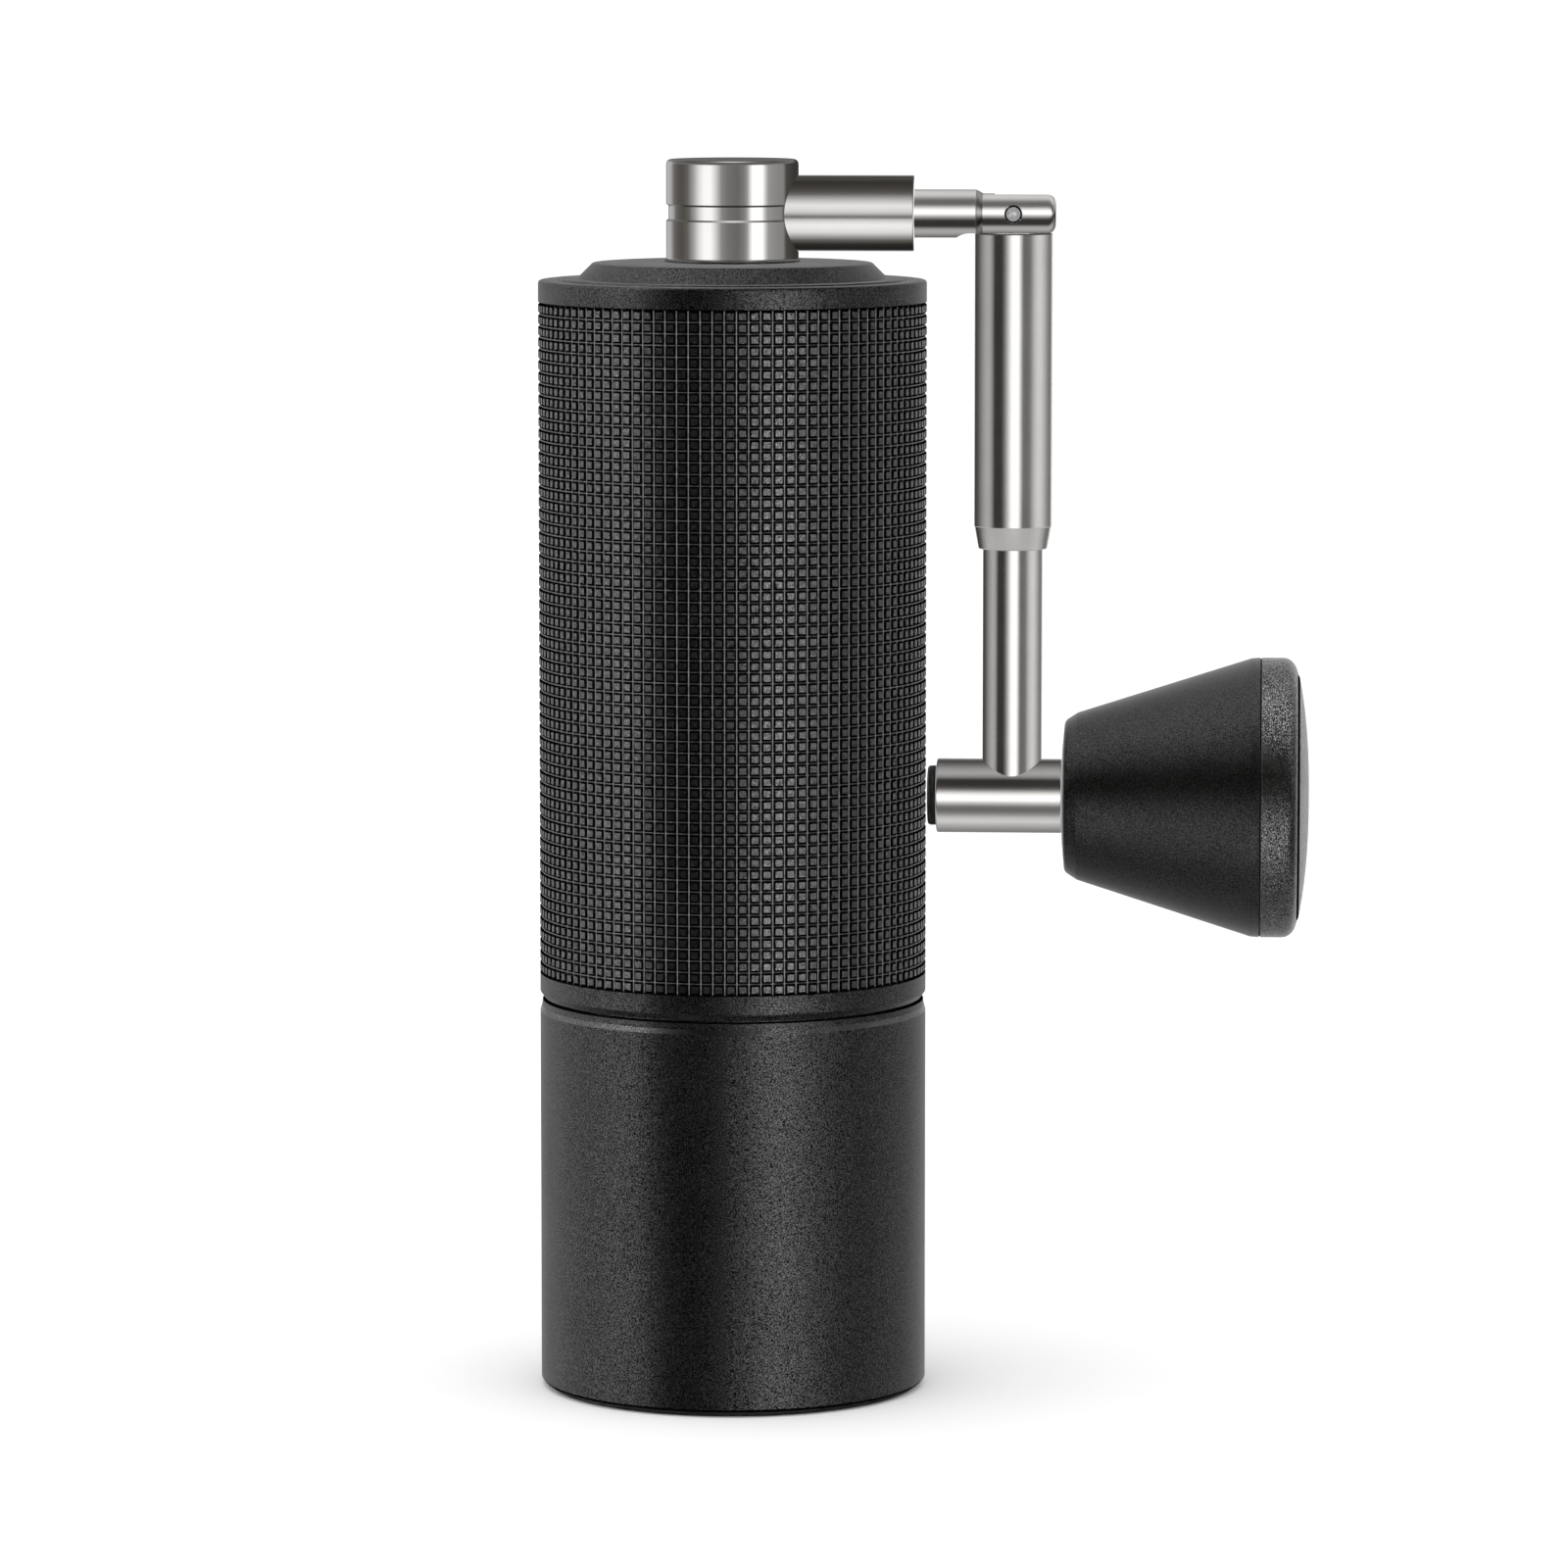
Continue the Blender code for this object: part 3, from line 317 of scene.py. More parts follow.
# ---- Shapes -------------------------------------------------------------------------------
def rounded(points, steps=5):
    """Rounds a profile. A point is (radius, z) or (radius, z, fillet)."""
    out = []
    count = len(points)
    for i, point in enumerate(points):
        fillet = point[2] if len(point) > 2 else 0.0
        here = Vector(point[:2])
        if not fillet:
            out.append(tuple(here))
            continue
        before = Vector(points[i - 1][:2]) - here
        after = Vector(points[(i + 1) % count][:2]) - here
        half = before.angle(after) / 2
        reach = fillet / math.tan(half)
        reach = min(reach, 0.499 * before.length, 0.499 * after.length)
        start = here + before.normalized() * reach
        end = here + after.normalized() * reach
        for k in range(steps + 1):
            t = k / steps
            out.append(tuple(start * (1 - t) ** 2 + here * 2 * t * (1 - t) + end * t**2))
    return out


def add(name, mesh, materials, body=None, replaces=()):
    obj = bpy.data.objects.new(name, mesh)
    scene.collection.objects.link(obj)
    for material in materials if isinstance(materials, (list, tuple)) else [materials]:
        obj.data.materials.append(material)
    if body:
        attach(obj, body)
    if replaces:
        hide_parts(*replaces)
    return obj


def smooth(mesh, degrees=32):
    mesh.shade_smooth()
    mesh.set_sharp_from_angle(angle=math.radians(degrees))


def lathe_mesh(name, profile, closed=True, segments=160, axis="Z", at=(0, 0, 0)):
    """Mesh turned from a (radius, height) profile that runs down its outer side."""
    shape = bmesh.new()
    rows = []
    for r, z in profile:
        if r < 1e-7:
            rows.append([shape.verts.new((0, 0, z))])
            continue
        row = []
        for i in range(segments):
            angle = 2 * math.pi * i / segments
            row.append(shape.verts.new((r * math.cos(angle), r * math.sin(angle), z)))
        rows.append(row)
    pairs = list(zip(rows, rows[1:]))
    if closed:
        pairs.append((rows[-1], rows[0]))
    for upper, lower in pairs:
        high, low = len(upper), len(lower)
        for i in range(segments):
            j = (i + 1) % segments
            ring = [upper[i % high], lower[i % low], lower[j % low], upper[j % high]]
            corners = list(dict.fromkeys(ring))
            if len(corners) >= 3:
                shape.faces.new(corners)
    bmesh.ops.recalc_face_normals(shape, faces=shape.faces)
    if axis == "X":
        for v in shape.verts:
            v.co = Vector((v.co.z, v.co.y, -v.co.x))
    elif axis == "Y":
        for v in shape.verts:
            v.co = Vector((v.co.x, v.co.z, -v.co.y))
    for v in shape.verts:
        v.co += Vector(at)
    mesh = bpy.data.meshes.new(name)
    shape.to_mesh(mesh)
    shape.free()
    smooth(mesh)
    return mesh


def paint(mesh, index, test):
    """Gives the faces that pass the test another of the piece's materials."""
    for face in mesh.polygons:
        if test(face.center, face.normal):
            face.material_index = index


def lathe(name, profile, materials, body, slot, replaces=(), **how):
    return add(name, lathe_mesh(name, profile, **how), materials, body, replaces)


def box_mesh(name, low, high):
    shape = bmesh.new()
    bmesh.ops.create_cube(shape, size=1.0)
    for v in shape.verts:
        for i in range(3):
            v.co[i] = low[i] if v.co[i] < 0 else high[i]
    mesh = bpy.data.meshes.new(name)
    shape.to_mesh(mesh)
    shape.free()
    return mesh


def prism_mesh(name, across_flats, low, high, sides=6):
    shape = bmesh.new()
    radius = across_flats / 2 / math.cos(math.pi / sides)
    bmesh.ops.create_cone(
        shape, cap_ends=True, segments=sides, radius1=radius, radius2=radius, depth=high - low
    )
    bmesh.ops.translate(shape, verts=shape.verts, vec=(0, 0, (high + low) / 2))
    mesh = bpy.data.meshes.new(name)
    shape.to_mesh(mesh)
    shape.free()
    return mesh


def carve(mesh, *steps, edge=0.0, degrees=32):
    """The mesh after a list of (operation, mesh) steps, with its sharp edges broken if asked."""
    base = bpy.data.objects.new("carve_base", mesh)
    scene.collection.objects.link(base)
    helpers = []
    for i, (operation, other) in enumerate(steps):
        helper = bpy.data.objects.new(f"carve_{i}", other)
        scene.collection.objects.link(helper)
        helper.hide_render = True
        helpers.append(helper)
        modifier = base.modifiers.new(f"step_{i}", "BOOLEAN")
        modifier.operation = operation
        modifier.object = helper
        modifier.solver = "EXACT"
    if edge:
        bevel = base.modifiers.new("edge", "BEVEL")
        bevel.width = edge
        bevel.segments = 2
        bevel.limit_method = "ANGLE"
        bevel.angle_limit = math.radians(40)
        bevel.use_clamp_overlap = True
    bpy.context.view_layer.update()
    evaluated = base.evaluated_get(bpy.context.evaluated_depsgraph_get())
    made = bpy.data.meshes.new_from_object(evaluated)
    made.name = mesh.name
    for obj in [base, *helpers]:
        bpy.data.objects.remove(obj, do_unlink=True)
    made.materials.clear()
    smooth(made, degrees)
    return made


CUT, JOIN = "DIFFERENCE", "UNION"


# ---- Shell --------------------------------------------------------------------------------
def knurl_lines(count, start, pitch, wall, floor):
    """Positions and depths across the grooves: land, wall, floor, wall, again and again."""
    lines = []
    land = pitch - 2 * wall - floor
    for i in range(count):
        at = start + i * pitch
        lines += [
            (at + floor / 2, 1.0),
            (at + floor / 2 + wall, 0.0),
            (at + floor / 2 + wall + land, 0.0),
            (at + floor / 2 + 2 * wall + land, 1.0),
        ]
    return lines


def make_shell():
    """The shell with its grip: square lands between grooves that cross, cut into the wall."""
    pitch = (KNURL_HIGH - KNURL_LOW) / KNURL_ROWS
    down = knurl_lines(KNURL_ROWS, KNURL_LOW, pitch, KNURL_WALL, KNURL_LINE)
    turn_pitch = 2 * math.pi / KNURL_COLUMNS
    arc = 1 / BODY_R
    around = knurl_lines(KNURL_COLUMNS, 0.0, turn_pitch, KNURL_WALL * arc, KNURL_LINE * arc)
    columns = len(around)
    looks = [SHELL_BLACK, LAND_BLACK, GROOVE_WALL_SHADE, GROOVE_UPRIGHT_HIGHLIGHT, GROOVE_LEVEL_HIGHLIGHT]
    land_look, wall_shade_look, upright_highlight_look, level_highlight_look = range(1, 5)
    shape = bmesh.new()

    def plain_row(r, z):
        return [shape.verts.new((r * math.cos(a), r * math.sin(a), z)) for a, _ in around]

    above = rounded(
        [
            (RIM_BORE_R, LEDGE_Z),
            (RIM_BORE_R, RIM_Z, 0.00025),
            (BODY_R, RIM_Z, 0.00045),
            (BODY_R, KNURL_HIGH + 0.0001),
        ]
    )
    below = rounded(
        [
            (BODY_R, KNURL_LOW - 0.0001),
            (BODY_R, PART_Z + 0.0008, 0.0002),
            (BODY_R - 0.0006, PART_Z, 0.0001),
            (NECK_R, PART_Z),
            (NECK_R, PART_Z - 0.0003),
            (NECK_R - 0.0006, PART_Z - 0.0003),
            (NECK_R - 0.0006, PART_Z - 0.0019),
            (NECK_R, PART_Z - 0.0019),
        ]
    )
    threads, thread_pitch = 3, 0.0016
    for i in range(threads):
        z = PART_Z - 0.0024 - i * thread_pitch
        below += [
            (NECK_R, z),
            (NECK_R - 0.0005, z - 0.0005),
            (NECK_R - 0.0005, z - 0.0008),
            (NECK_R, z - 0.0013),
        ]
    below += [
        (NECK_R, NECK_Z + 0.0004),
        (NECK_R - 0.0004, NECK_Z),
        (NECK_BORE_R, NECK_Z),
        (NECK_BORE_R, SEAT_Z),
        (CHAMBER_R, SEAT_Z + 0.0010),
        (CHAMBER_R, LEDGE_Z),
    ]
    rows = [plain_row(r, z) for r, z in above]
    grip_start = len(rows)
    # The grooves run out into the plain bands, so the grip starts and ends on a wall. The bottom
    # of each level groove leans a little upwards.
    lower_edge = 0.72
    lean = {z: lower_edge for (z, cut), (_, other) in zip(down, down[1:]) if cut == other == 1}
    for z, depth in reversed(down):
        row = []
        for angle, cut in around:
            r = BODY_R - KNURL_DEPTH * max(cut, lean.get(z, depth))
            row.append(shape.verts.new((r * math.cos(angle), r * math.sin(angle), z)))
        rows.append(row)
    grip_end = len(rows)
    rows += [plain_row(r, z) for r, z in below]
    for k, (upper, lower) in enumerate(zip(rows, rows[1:] + rows[:1])):
        for i in range(columns):
            j = (i + 1) % columns
            face = shape.faces.new((upper[i], lower[i], lower[j], upper[j]))
            if not grip_start - 1 <= k < grip_end:
                continue
            radii = [round(math.hypot(v.co.x, v.co.y), 6) for v in face.verts]
            step = max(radii) - min(radii)
            # Walls get painted shade; upright and level floors get their own painted highlights.
            in_upright = i % 4 == 3
            if step > 0.0001 or step > 0.00001 and in_upright:
                face.material_index = wall_shade_look
            elif min(radii) > BODY_R - 0.00001:
                face.material_index = land_look
            else:
                face.material_index = upright_highlight_look if in_upright else level_highlight_look
    bmesh.ops.recalc_face_normals(shape, faces=shape.faces)
    mesh = bpy.data.meshes.new("shell")
    shape.to_mesh(mesh)
    shape.free()
    # Painted shade: the parting line gets the groove walls' near-black material.
    paint(mesh, wall_shade_look, lambda at, normal: abs(at.z - PART_Z) < 0.00004)
    smooth(mesh, 20)
    add("shell", mesh, looks, "grinder_body", ["outer_shell"])


# ---- Cup ----------------------------------------------------------------------------------
def make_cup():
    mouth = PART_Z - 0.00025
    outer = rounded(
        [
            (0.0, 0.0034),
            (0.0217, 0.0034, 0.0008),
            (0.0237, 0.0054, 0.0008),
            (0.0237, NECK_Z - 0.0010),
            (0.0240, NECK_Z - 0.0004),
            (0.0240, PART_Z - 0.0022),
            (0.0244, PART_Z - 0.0020),
            (0.0244, mouth, 0.0001),
            (BODY_R - 0.0006, mouth),
            (BODY_R - 0.00032, mouth - 0.00012),
            (BODY_R - 0.00024, mouth - 0.0009, 0.00003),
            (BODY_R, mouth - 0.0016, 0.00008),
            (BODY_R, CUP_Z + 0.0005, 0.0001),
            (BODY_R - 0.0003, CUP_Z + 0.0001),
            (BODY_R - 0.0007, CUP_Z),
            (PAD_R - 0.0006, CUP_Z),
            (PAD_R - 0.0006, CUP_Z + 0.0013),
            (0.0, CUP_Z + 0.0013),
        ]
    )
    cup = lathe_mesh("cup", outer, False, 288)

    # Painted highlight on the chamfered strip below the parting line.
    def in_highlight_strip(at, normal):
        return mouth - 0.0016 < at.z < mouth - 0.00092 and at.xy.length > NECK_R + 0.0016

    # Painted shade on the ledge in the parting gap and on the cup's bottom chamfer by the pad.
    def in_painted_shade(at, normal):
        return mouth - 0.00013 < at.z or at.z < CUP_Z + 0.0004

    paint(cup, 1, in_highlight_strip)
    paint(cup, 2, in_painted_shade)
    smooth(cup, 7)
    add("cup", cup, [CUP_BLACK, CUP_EDGE_HIGHLIGHT, GAP_SHADE], "cup", ["cup_shell"])
    pad = rounded(
        [
            (0.0, CUP_Z + 0.0010),
            (PAD_R - 0.0009, CUP_Z + 0.0010),
            (PAD_R - 0.0009, CUP_Z - 0.0001),
            (PAD_R, CUP_Z - 0.0001, 0.0001),
            (PAD_R, 0.0, 0.00025),
            (0.0200, 0.0),
            (0.0194, 0.00018),
            (0.0170, 0.00018),
            (0.0164, 0.0),
            (0.0, 0.0),
        ]
    )
    lathe("pad", pad, RUBBER, "cup_foot", "rubber", ["foot_pad"], closed=False, segments=192)


# ---- Lid ----------------------------------------------------------------------------------
def make_lid():
    plug = CHAMBER_R - 0.0003
    flange = LEDGE_Z + 0.0003
    bore = HUB_NECK_R + 0.0003
    profile = rounded(
        [
            (bore, PLATFORM_Z, 0.0001),
            (0.0187, PLATFORM_Z, 0.0005),
            (0.0208, LID_TOP_Z, 0.0003),
            (LID_R, LID_TOP_Z, 0.0003),
            (LID_R, flange, 0.0001),
            (plug, flange),
            (plug, 0.1456),
            (plug - 0.0009, 0.1456),
            (plug - 0.0009, 0.1442),
            (plug, 0.1442),
            (plug, LID_BOTTOM_Z, 0.0002),
            (0.0206, LID_BOTTOM_Z, 0.0002),
            (0.0198, 0.1480, 0.0006),
            (0.0178, 0.1499),
            (0.0105, 0.1499),
            (0.0095, 0.1480, 0.0003),
            (bore, 0.1480),
        ]
    )
    lathe("lid_cover", profile, LID_BLACK, "lid", "lid_black", ["lid"], segments=256)


# ---- Crank --------------------------------------------------------------------------------
def make_hub():
    edge = 0.0008
    profile = rounded(
        [
            (0.0, HUB_TOP_Z),
            (HUB_R, HUB_TOP_Z, edge),
            (HUB_R, 0.15955),
            (HUB_R - 0.0003, 0.15930),
            (HUB_R - 0.0003, 0.15755),
            (HUB_R, 0.15730),
            (HUB_R, HUB_Z, 0.0002),
            (HUB_NECK_R, HUB_Z),
            (HUB_NECK_R, 0.1474),
            (HUB_NECK_R - 0.0006, 0.1474),
            (HUB_NECK_R - 0.0006, 0.1465),
            (HUB_NECK_R, 0.1465),
            (HUB_NECK_R, HUB_NECK_Z, 0.0002),
            (0.0, HUB_NECK_Z),
        ],
        steps=6,
    )
    hub = lathe_mesh("hub", profile, closed=False, segments=192)
    rod = cylinder(STUB_R + 0.0001, 0.0020, 0.0120)
    bore = lathe_mesh("bore", rod, False, 96, "X", (0, 0, CRANK_Z))
    hub = carve(hub, (CUT, prism_mesh("socket", 0.0076, 0.1400, 0.1563)), (CUT, bore))
    add("hub", hub, STEEL_HUB, "crank", ["crank_hub"])
    washer = rounded(
        [(0.0067, 0.1521), (0.0091, 0.1521, 0.0001), (0.0091, 0.1518, 0.0001), (0.0067, 0.1518)]
    )
    lathe("washer_under_hub", washer, MOULDED, "crank", "black_plastic", ["hub_washer"])


def cylinder(radius, low, high, edge=0.0):
    return rounded([(0.0, high), (radius, high, edge), (radius, low, edge), (0.0, low)])


def make_collar():
    bore = STUB_R + 0.0001
    profile = rounded(
        [
            (bore, COLLAR_END_X, 0.00008),
            (COLLAR_R, COLLAR_END_X, 0.00028),
            (COLLAR_R, 0.0050),
            (bore, 0.0050),
        ]
    )
    collar = lathe_mesh("collar", profile, True, 160, "X", (0, 0, CRANK_Z))
    cope = lathe_mesh("cope", cylinder(HUB_R + 0.00003, 0.1400, 0.1700), False, 192)
    add("collar", carve(collar, (CUT, cope)), STEEL_X, "crank", ["arm_collar"])


def make_fork():
    profile = rounded(
        [
            (0.0, FORK_END_X),
            (FORK_R, FORK_END_X, 0.0012),
            (FORK_R, FORK_ROOT_X + 0.0007, 0.0001),
            (STUB_R - 0.0001, FORK_ROOT_X),
            (STUB_R - 0.0001, FORK_ROOT_X - 0.0001),
            (STUB_R, FORK_ROOT_X - 0.0002),
            (STUB_R, 0.0050),
            (0.0, 0.0050),
        ],
        steps=8,
    )
    fork = lathe_mesh("fork", profile, False, 96, "X", (0, 0, CRANK_Z))
    root = PIN_X - 0.0026
    slot = box_mesh("slot", (root, -0.0009, CRANK_Z - 0.01), (0.06, 0.0009, CRANK_Z + 0.01))
    drill = cylinder(PIN_R + 0.0001, -0.01, 0.01)
    hole = lathe_mesh("hole", drill, False, 64, "Y", (PIN_X, 0, CRANK_Z))
    flat_z, run_in = CRANK_Z - FLAT_DROP, 0.0030
    flat_x = FORK_ROOT_X - 0.0010
    flat = box_mesh("flat", (flat_x, -0.01, CRANK_Z - 0.01), (0.06, 0.01, flat_z))
    cutter = cylinder(run_in, -0.01, 0.01)
    mill = lathe_mesh("mill", cutter, False, 128, "Y", (flat_x, 0, flat_z - run_in))
    fork = carve(fork, (CUT, slot), (CUT, hole), (CUT, flat), (CUT, mill))
    # Painted shade: darker steel on the chamfer at the fork's root.
    paint(fork, 1, lambda at, normal: FORK_ROOT_X - 0.0002 < at.x < FORK_ROOT_X + 0.0007)
    add("fork", fork, [STEEL_X, STEEL_SHADE], "crank", ["fork_rod"])
    face_r, end = PIN_R - 0.00016, FORK_R - 0.00003
    profile = [
        (0.0, end),
        (face_r, end),
        (face_r, end - 0.0002),
        (PIN_R + 0.00006, end - 0.0002),
        (PIN_R + 0.00006, 0.0002 - end),
        (face_r, 0.0002 - end),
        (face_r, -end),
        (0.0, -end),
    ]
    pin = lathe_mesh("pin", profile, False, 64, "Y")
    # Painted shade: the pin's sides and the ring round its faced ends are near black.
    paint(pin, 1, lambda at, normal: abs(normal.y) <= 0.9 or abs(at.y) <= end - 0.0001)
    obj = add("pin", pin, [STEEL_FACE, GAP_SHADE])
    obj.location = (PIN_X, 0, CRANK_Z)
    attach(obj, "crank")
    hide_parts("hinge_pin")


# ---- Folding arm --------------------------------------------------------------------------
def make_arm():
    shoulder = CRANK_Z - 0.0062
    profile = rounded(
        [
            (0.0, shoulder),
            (THIN_ROD_R, shoulder, 0.0003),
            (THIN_ROD_R, 0.1300),
            (ROD_R, 0.1300, 0.0002),
            (ROD_R, KNOB_Z),
            (0.0, KNOB_Z),
        ]
    )
    arm = lathe_mesh("arm", profile, False, 128, "Z", (PIN_X, 0, 0))
    low = (PIN_X - 0.0021, -0.0006, shoulder - 0.001)
    high = (PIN_X + 0.0021, 0.0006, CRANK_Z - 0.0004)
    tongue = box_mesh("tongue", low, high)
    disc, drill = cylinder(0.0022, -0.00065, 0.00065), cylinder(PIN_R + 0.0001, -0.01, 0.01)
    eye = lathe_mesh("eye", disc, False, 64, "Y", (PIN_X, 0, CRANK_Z))
    hole = lathe_mesh("hole", drill, False, 48, "Y", (PIN_X, 0, CRANK_Z))
    across = cylinder(CROSS_R + 0.00002, 0.0, 0.08)
    cope = lathe_mesh("cope", across, False, 160, "X", (0, 0, KNOB_Z))
    arm = carve(arm, (JOIN, tongue), (JOIN, eye), (CUT, hole), (CUT, cope))
    # Painted shade: the tongue and eye, inside the fork's slot, are darker steel.
    paint(arm, 1, lambda at, normal: at.z > shoulder + 0.0001)
    add("arm", arm, [STEEL_Z, STEEL_SHADE], "arm", ["arm_rod"])
    bore = SPINDLE_R + 0.0001
    tube = rounded(
        [
            (bore, CROSS_END_X, 0.0001),
            (CROSS_R, CROSS_END_X, 0.0002),
            (CROSS_R, CROSS_X, 0.0003),
            (bore, CROSS_X, 0.0001),
        ]
    )
    middle = (0, 0, KNOB_Z)
    lathe("tube", tube, STEEL_X, "arm", "stainless", ["cross_tube"], axis="X", at=middle)
    stem = SPINDLE_R - 0.0001
    bumper = rounded(
        [
            (0.0, 0.0325),
            (stem, 0.0325, 0.0003),
            (stem, CROSS_X - 0.00005),
            (0.0040, CROSS_X - 0.00005, 0.0001),
            (0.0040, BODY_R + 0.0003, 0.0005),
            (0.0, BODY_R + 0.0003),
        ]
    )
    turned = {"closed": False, "segments": 96, "axis": "X", "at": middle}
    lathe("buffer", bumper, RUBBER, "arm", "rubber", ["bumper"], **turned)


def make_sleeve():
    bore, low_bore = 0.00335, ROD_R + 0.00012
    profile = rounded(
        [
            (bore, SLEEVE_TOP_Z, 0.0002),
            (SLEEVE_R, SLEEVE_TOP_Z, 0.00012),
            (SLEEVE_R, TAPER_Z + 0.00006, 0.00003),
            (SLEEVE_R - 0.00008, TAPER_Z, 0.00003),
            (TAPER_R, SLEEVE_LOW_Z, 0.0002),
            (low_bore, SLEEVE_LOW_Z),
            (low_bore, 0.1470),
            (bore, 0.1470),
        ]
    )
    sleeve = lathe_mesh("sleeve", profile, True, 192, "Z", (PIN_X, 0, 0))
    paint(sleeve, 1, lambda at, normal: at.z < TAPER_Z)
    # Painted shade: the sleeve's top ring, under the fork, is darker steel.
    paint(sleeve, 2, lambda at, normal: at.z > SLEEVE_TOP_Z - 0.00015)
    looks = [STEEL_Z, STEEL_TAPER, STEEL_SHADE]
    add("sleeve", sleeve, looks, "lock_sleeve", ["lock_sleeve"])


# ---- Knob ---------------------------------------------------------------------------------
def make_knob():
    bush = 0.0042
    profile = rounded(
        [
            (0.0166, SEAM_X - 0.0008),
            (SEAM_FLOOR_R, SEAM_X - 0.0008),
            (SEAM_FLOOR_R, SEAM_X - 0.0001),
            (KNOB_BIG_R, SEAM_X - 0.0001, 0.00006),
            (KNOB_BIG_R - 0.0001, SEAM_X - 0.0013, 0.0004),
            (KNOB_SMALL_R + 0.0003, KNOB_X + 0.0020, 0.0009),
            (KNOB_SMALL_R - 0.0008, KNOB_X + 0.0003, 0.0010),
            (KNOB_SMALL_R - 0.0040, KNOB_X, 0.0010),
            (bush, KNOB_X, 0.0002),
            (bush, 0.0656),
            (0.0064, 0.0656),
            (0.0070, 0.0540),
            (0.0105, 0.0540),
        ],
        steps=6,
    )

    def away(at):
        return math.hypot(at.y, at.z - KNOB_Z)

    # Painted shade in the seam between the knob and its cap.
    def in_knob_seam_shade(at, normal):
        return away(at) < SEAM_LIP_R and at.x > SEAM_X - 0.0009

    def in_cap_seam_shade(at, normal):
        return away(at) < SEAM_LIP_R and at.x < SEAM_X + 0.0003

    # Painted shade on the step at the dome's border.
    def in_step_shade(at, normal):
        high_enough = CAP_EDGE_X - step - 0.0001 < at.x < CAP_EDGE_X + 0.00001
        return high_enough and away(at) > CAP_FACE_R - 0.00002

    knob = lathe_mesh("knob", profile, True, 256, "X", (0, 0, KNOB_Z))
    paint(knob, 1, in_knob_seam_shade)
    add("knob", knob, [KNOB_BLACK, GAP_SHADE], "knob", ["knob_body"])
    face = [(0.0, CAP_END_X)]
    dome = CAP_END_X - CAP_EDGE_X
    for k in range(1, 25):
        share = k / 24
        face.append((CAP_FACE_R * share, CAP_END_X - dome * share**2.4))
    # A step goes down from the dome's border and is painted with the gaps' painted shade, so it
    # shows from the side as a dark line.
    step = 0.00022
    edge = KNOB_BIG_R - CAP_FACE_R
    for k in range(1, 11):
        angle = math.radians(9 * k)
        drop = step + 0.0020 * (1 - math.cos(angle))
        face.append((CAP_FACE_R + 0.00005 + (edge - 0.00005) * math.sin(angle), CAP_EDGE_X - drop))
    face += rounded(
        [
            (KNOB_BIG_R, CAP_EDGE_X - 0.0028),
            (KNOB_BIG_R, SEAM_X + 0.0001, 0.00006),
            (SEAM_FLOOR_R, SEAM_X + 0.0001),
            (0.01855, SEAM_X - 0.0006),
            (0.0163, SEAM_X - 0.0006),
            (0.0155, SEAM_X - 0.0030),
            (0.0145, SEAM_X - 0.0030),
            (0.0140, SEAM_X + 0.0012),
            (0.0, SEAM_X + 0.0026),
        ]
    )
    cap = lathe_mesh("cap", face, False, 256, "X", (0, 0, KNOB_Z))
    paint(cap, 1, in_cap_seam_shade)
    paint(cap, 1, in_step_shade)
    add("cap", cap, [CAP_BLACK, GAP_SHADE], "knob", ["knob_cap"])


# ---- Pieces kept from the CAD model ---------------------------------------------------------
KEPT = {
    STEEL_PLAIN: [
        "drive_shaft", "spacer_tube", "end_nut", "knob_spindle", "knob_screw",
        "burr_screw_1", "burr_screw_2", "burr_screw_3",
    ],
    BURR_STEEL: ["ring_burr", "inner_burr"],
    BEARING: [
        "shaft_clip", "lid_clip", "knob_washer",
        "upper_bearing_outer_race", "upper_bearing_inner_race",
        "lower_bearing_outer_race", "lower_bearing_inner_race",
        "lock_spring", "burr_spring", "click_spring", "click_ball",
    ],
    BRASS: [
        "upper_bearing_ball_cage", "lower_bearing_ball_cage", "knob_bush_near", "knob_bush_far",
    ],
    INNER_BLACK: ["upper_bridge", "burr_frame", "adjust_dial"],
    MOULDED: ["hopper_funnel"],
    RUBBER: ["neck_seal", "lid_seal"],
}


def finish_kept():
    for material, names in KEPT.items():
        for name in names:
            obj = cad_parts[name]
            if not obj.material_slots:
                obj.data.materials.append(material)
            for holder in obj.material_slots:
                holder.material = material


# ---- Studio -------------------------------------------------------------------------------
def add_mesh_object(name, mesh, material):
    obj = bpy.data.objects.new(name, mesh)
    scene.collection.objects.link(obj)
    obj.data.materials.append(material)
    obj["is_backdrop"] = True
    return obj


def make_floor():
    shape = bmesh.new()
    bmesh.ops.create_grid(shape, x_segments=1, y_segments=1, size=12.0)
    mesh = bpy.data.meshes.new("floor")
    shape.to_mesh(mesh)
    shape.free()
    n = Nodes("floor_paper")
    n.shader.inputs["Roughness"].default_value = 0.9
    n.shader.inputs["Specular IOR Level"].default_value = 0.0
    n.shader.inputs["Base Color"].default_value = grey(0.96)
    floor = add_mesh_object("floor", mesh, n.material)
    floor.visible_glossy = False


def make_world():
    world = bpy.data.worlds.new("studio")
    scene.world = world
    world.use_nodes = True
    background = world.node_tree.nodes["Background"]
    background.inputs["Color"].default_value = (1.0, 1.0, 1.0, 1.0)
    background.inputs["Strength"].default_value = 1.12
    world.cycles_visibility.glossy = False


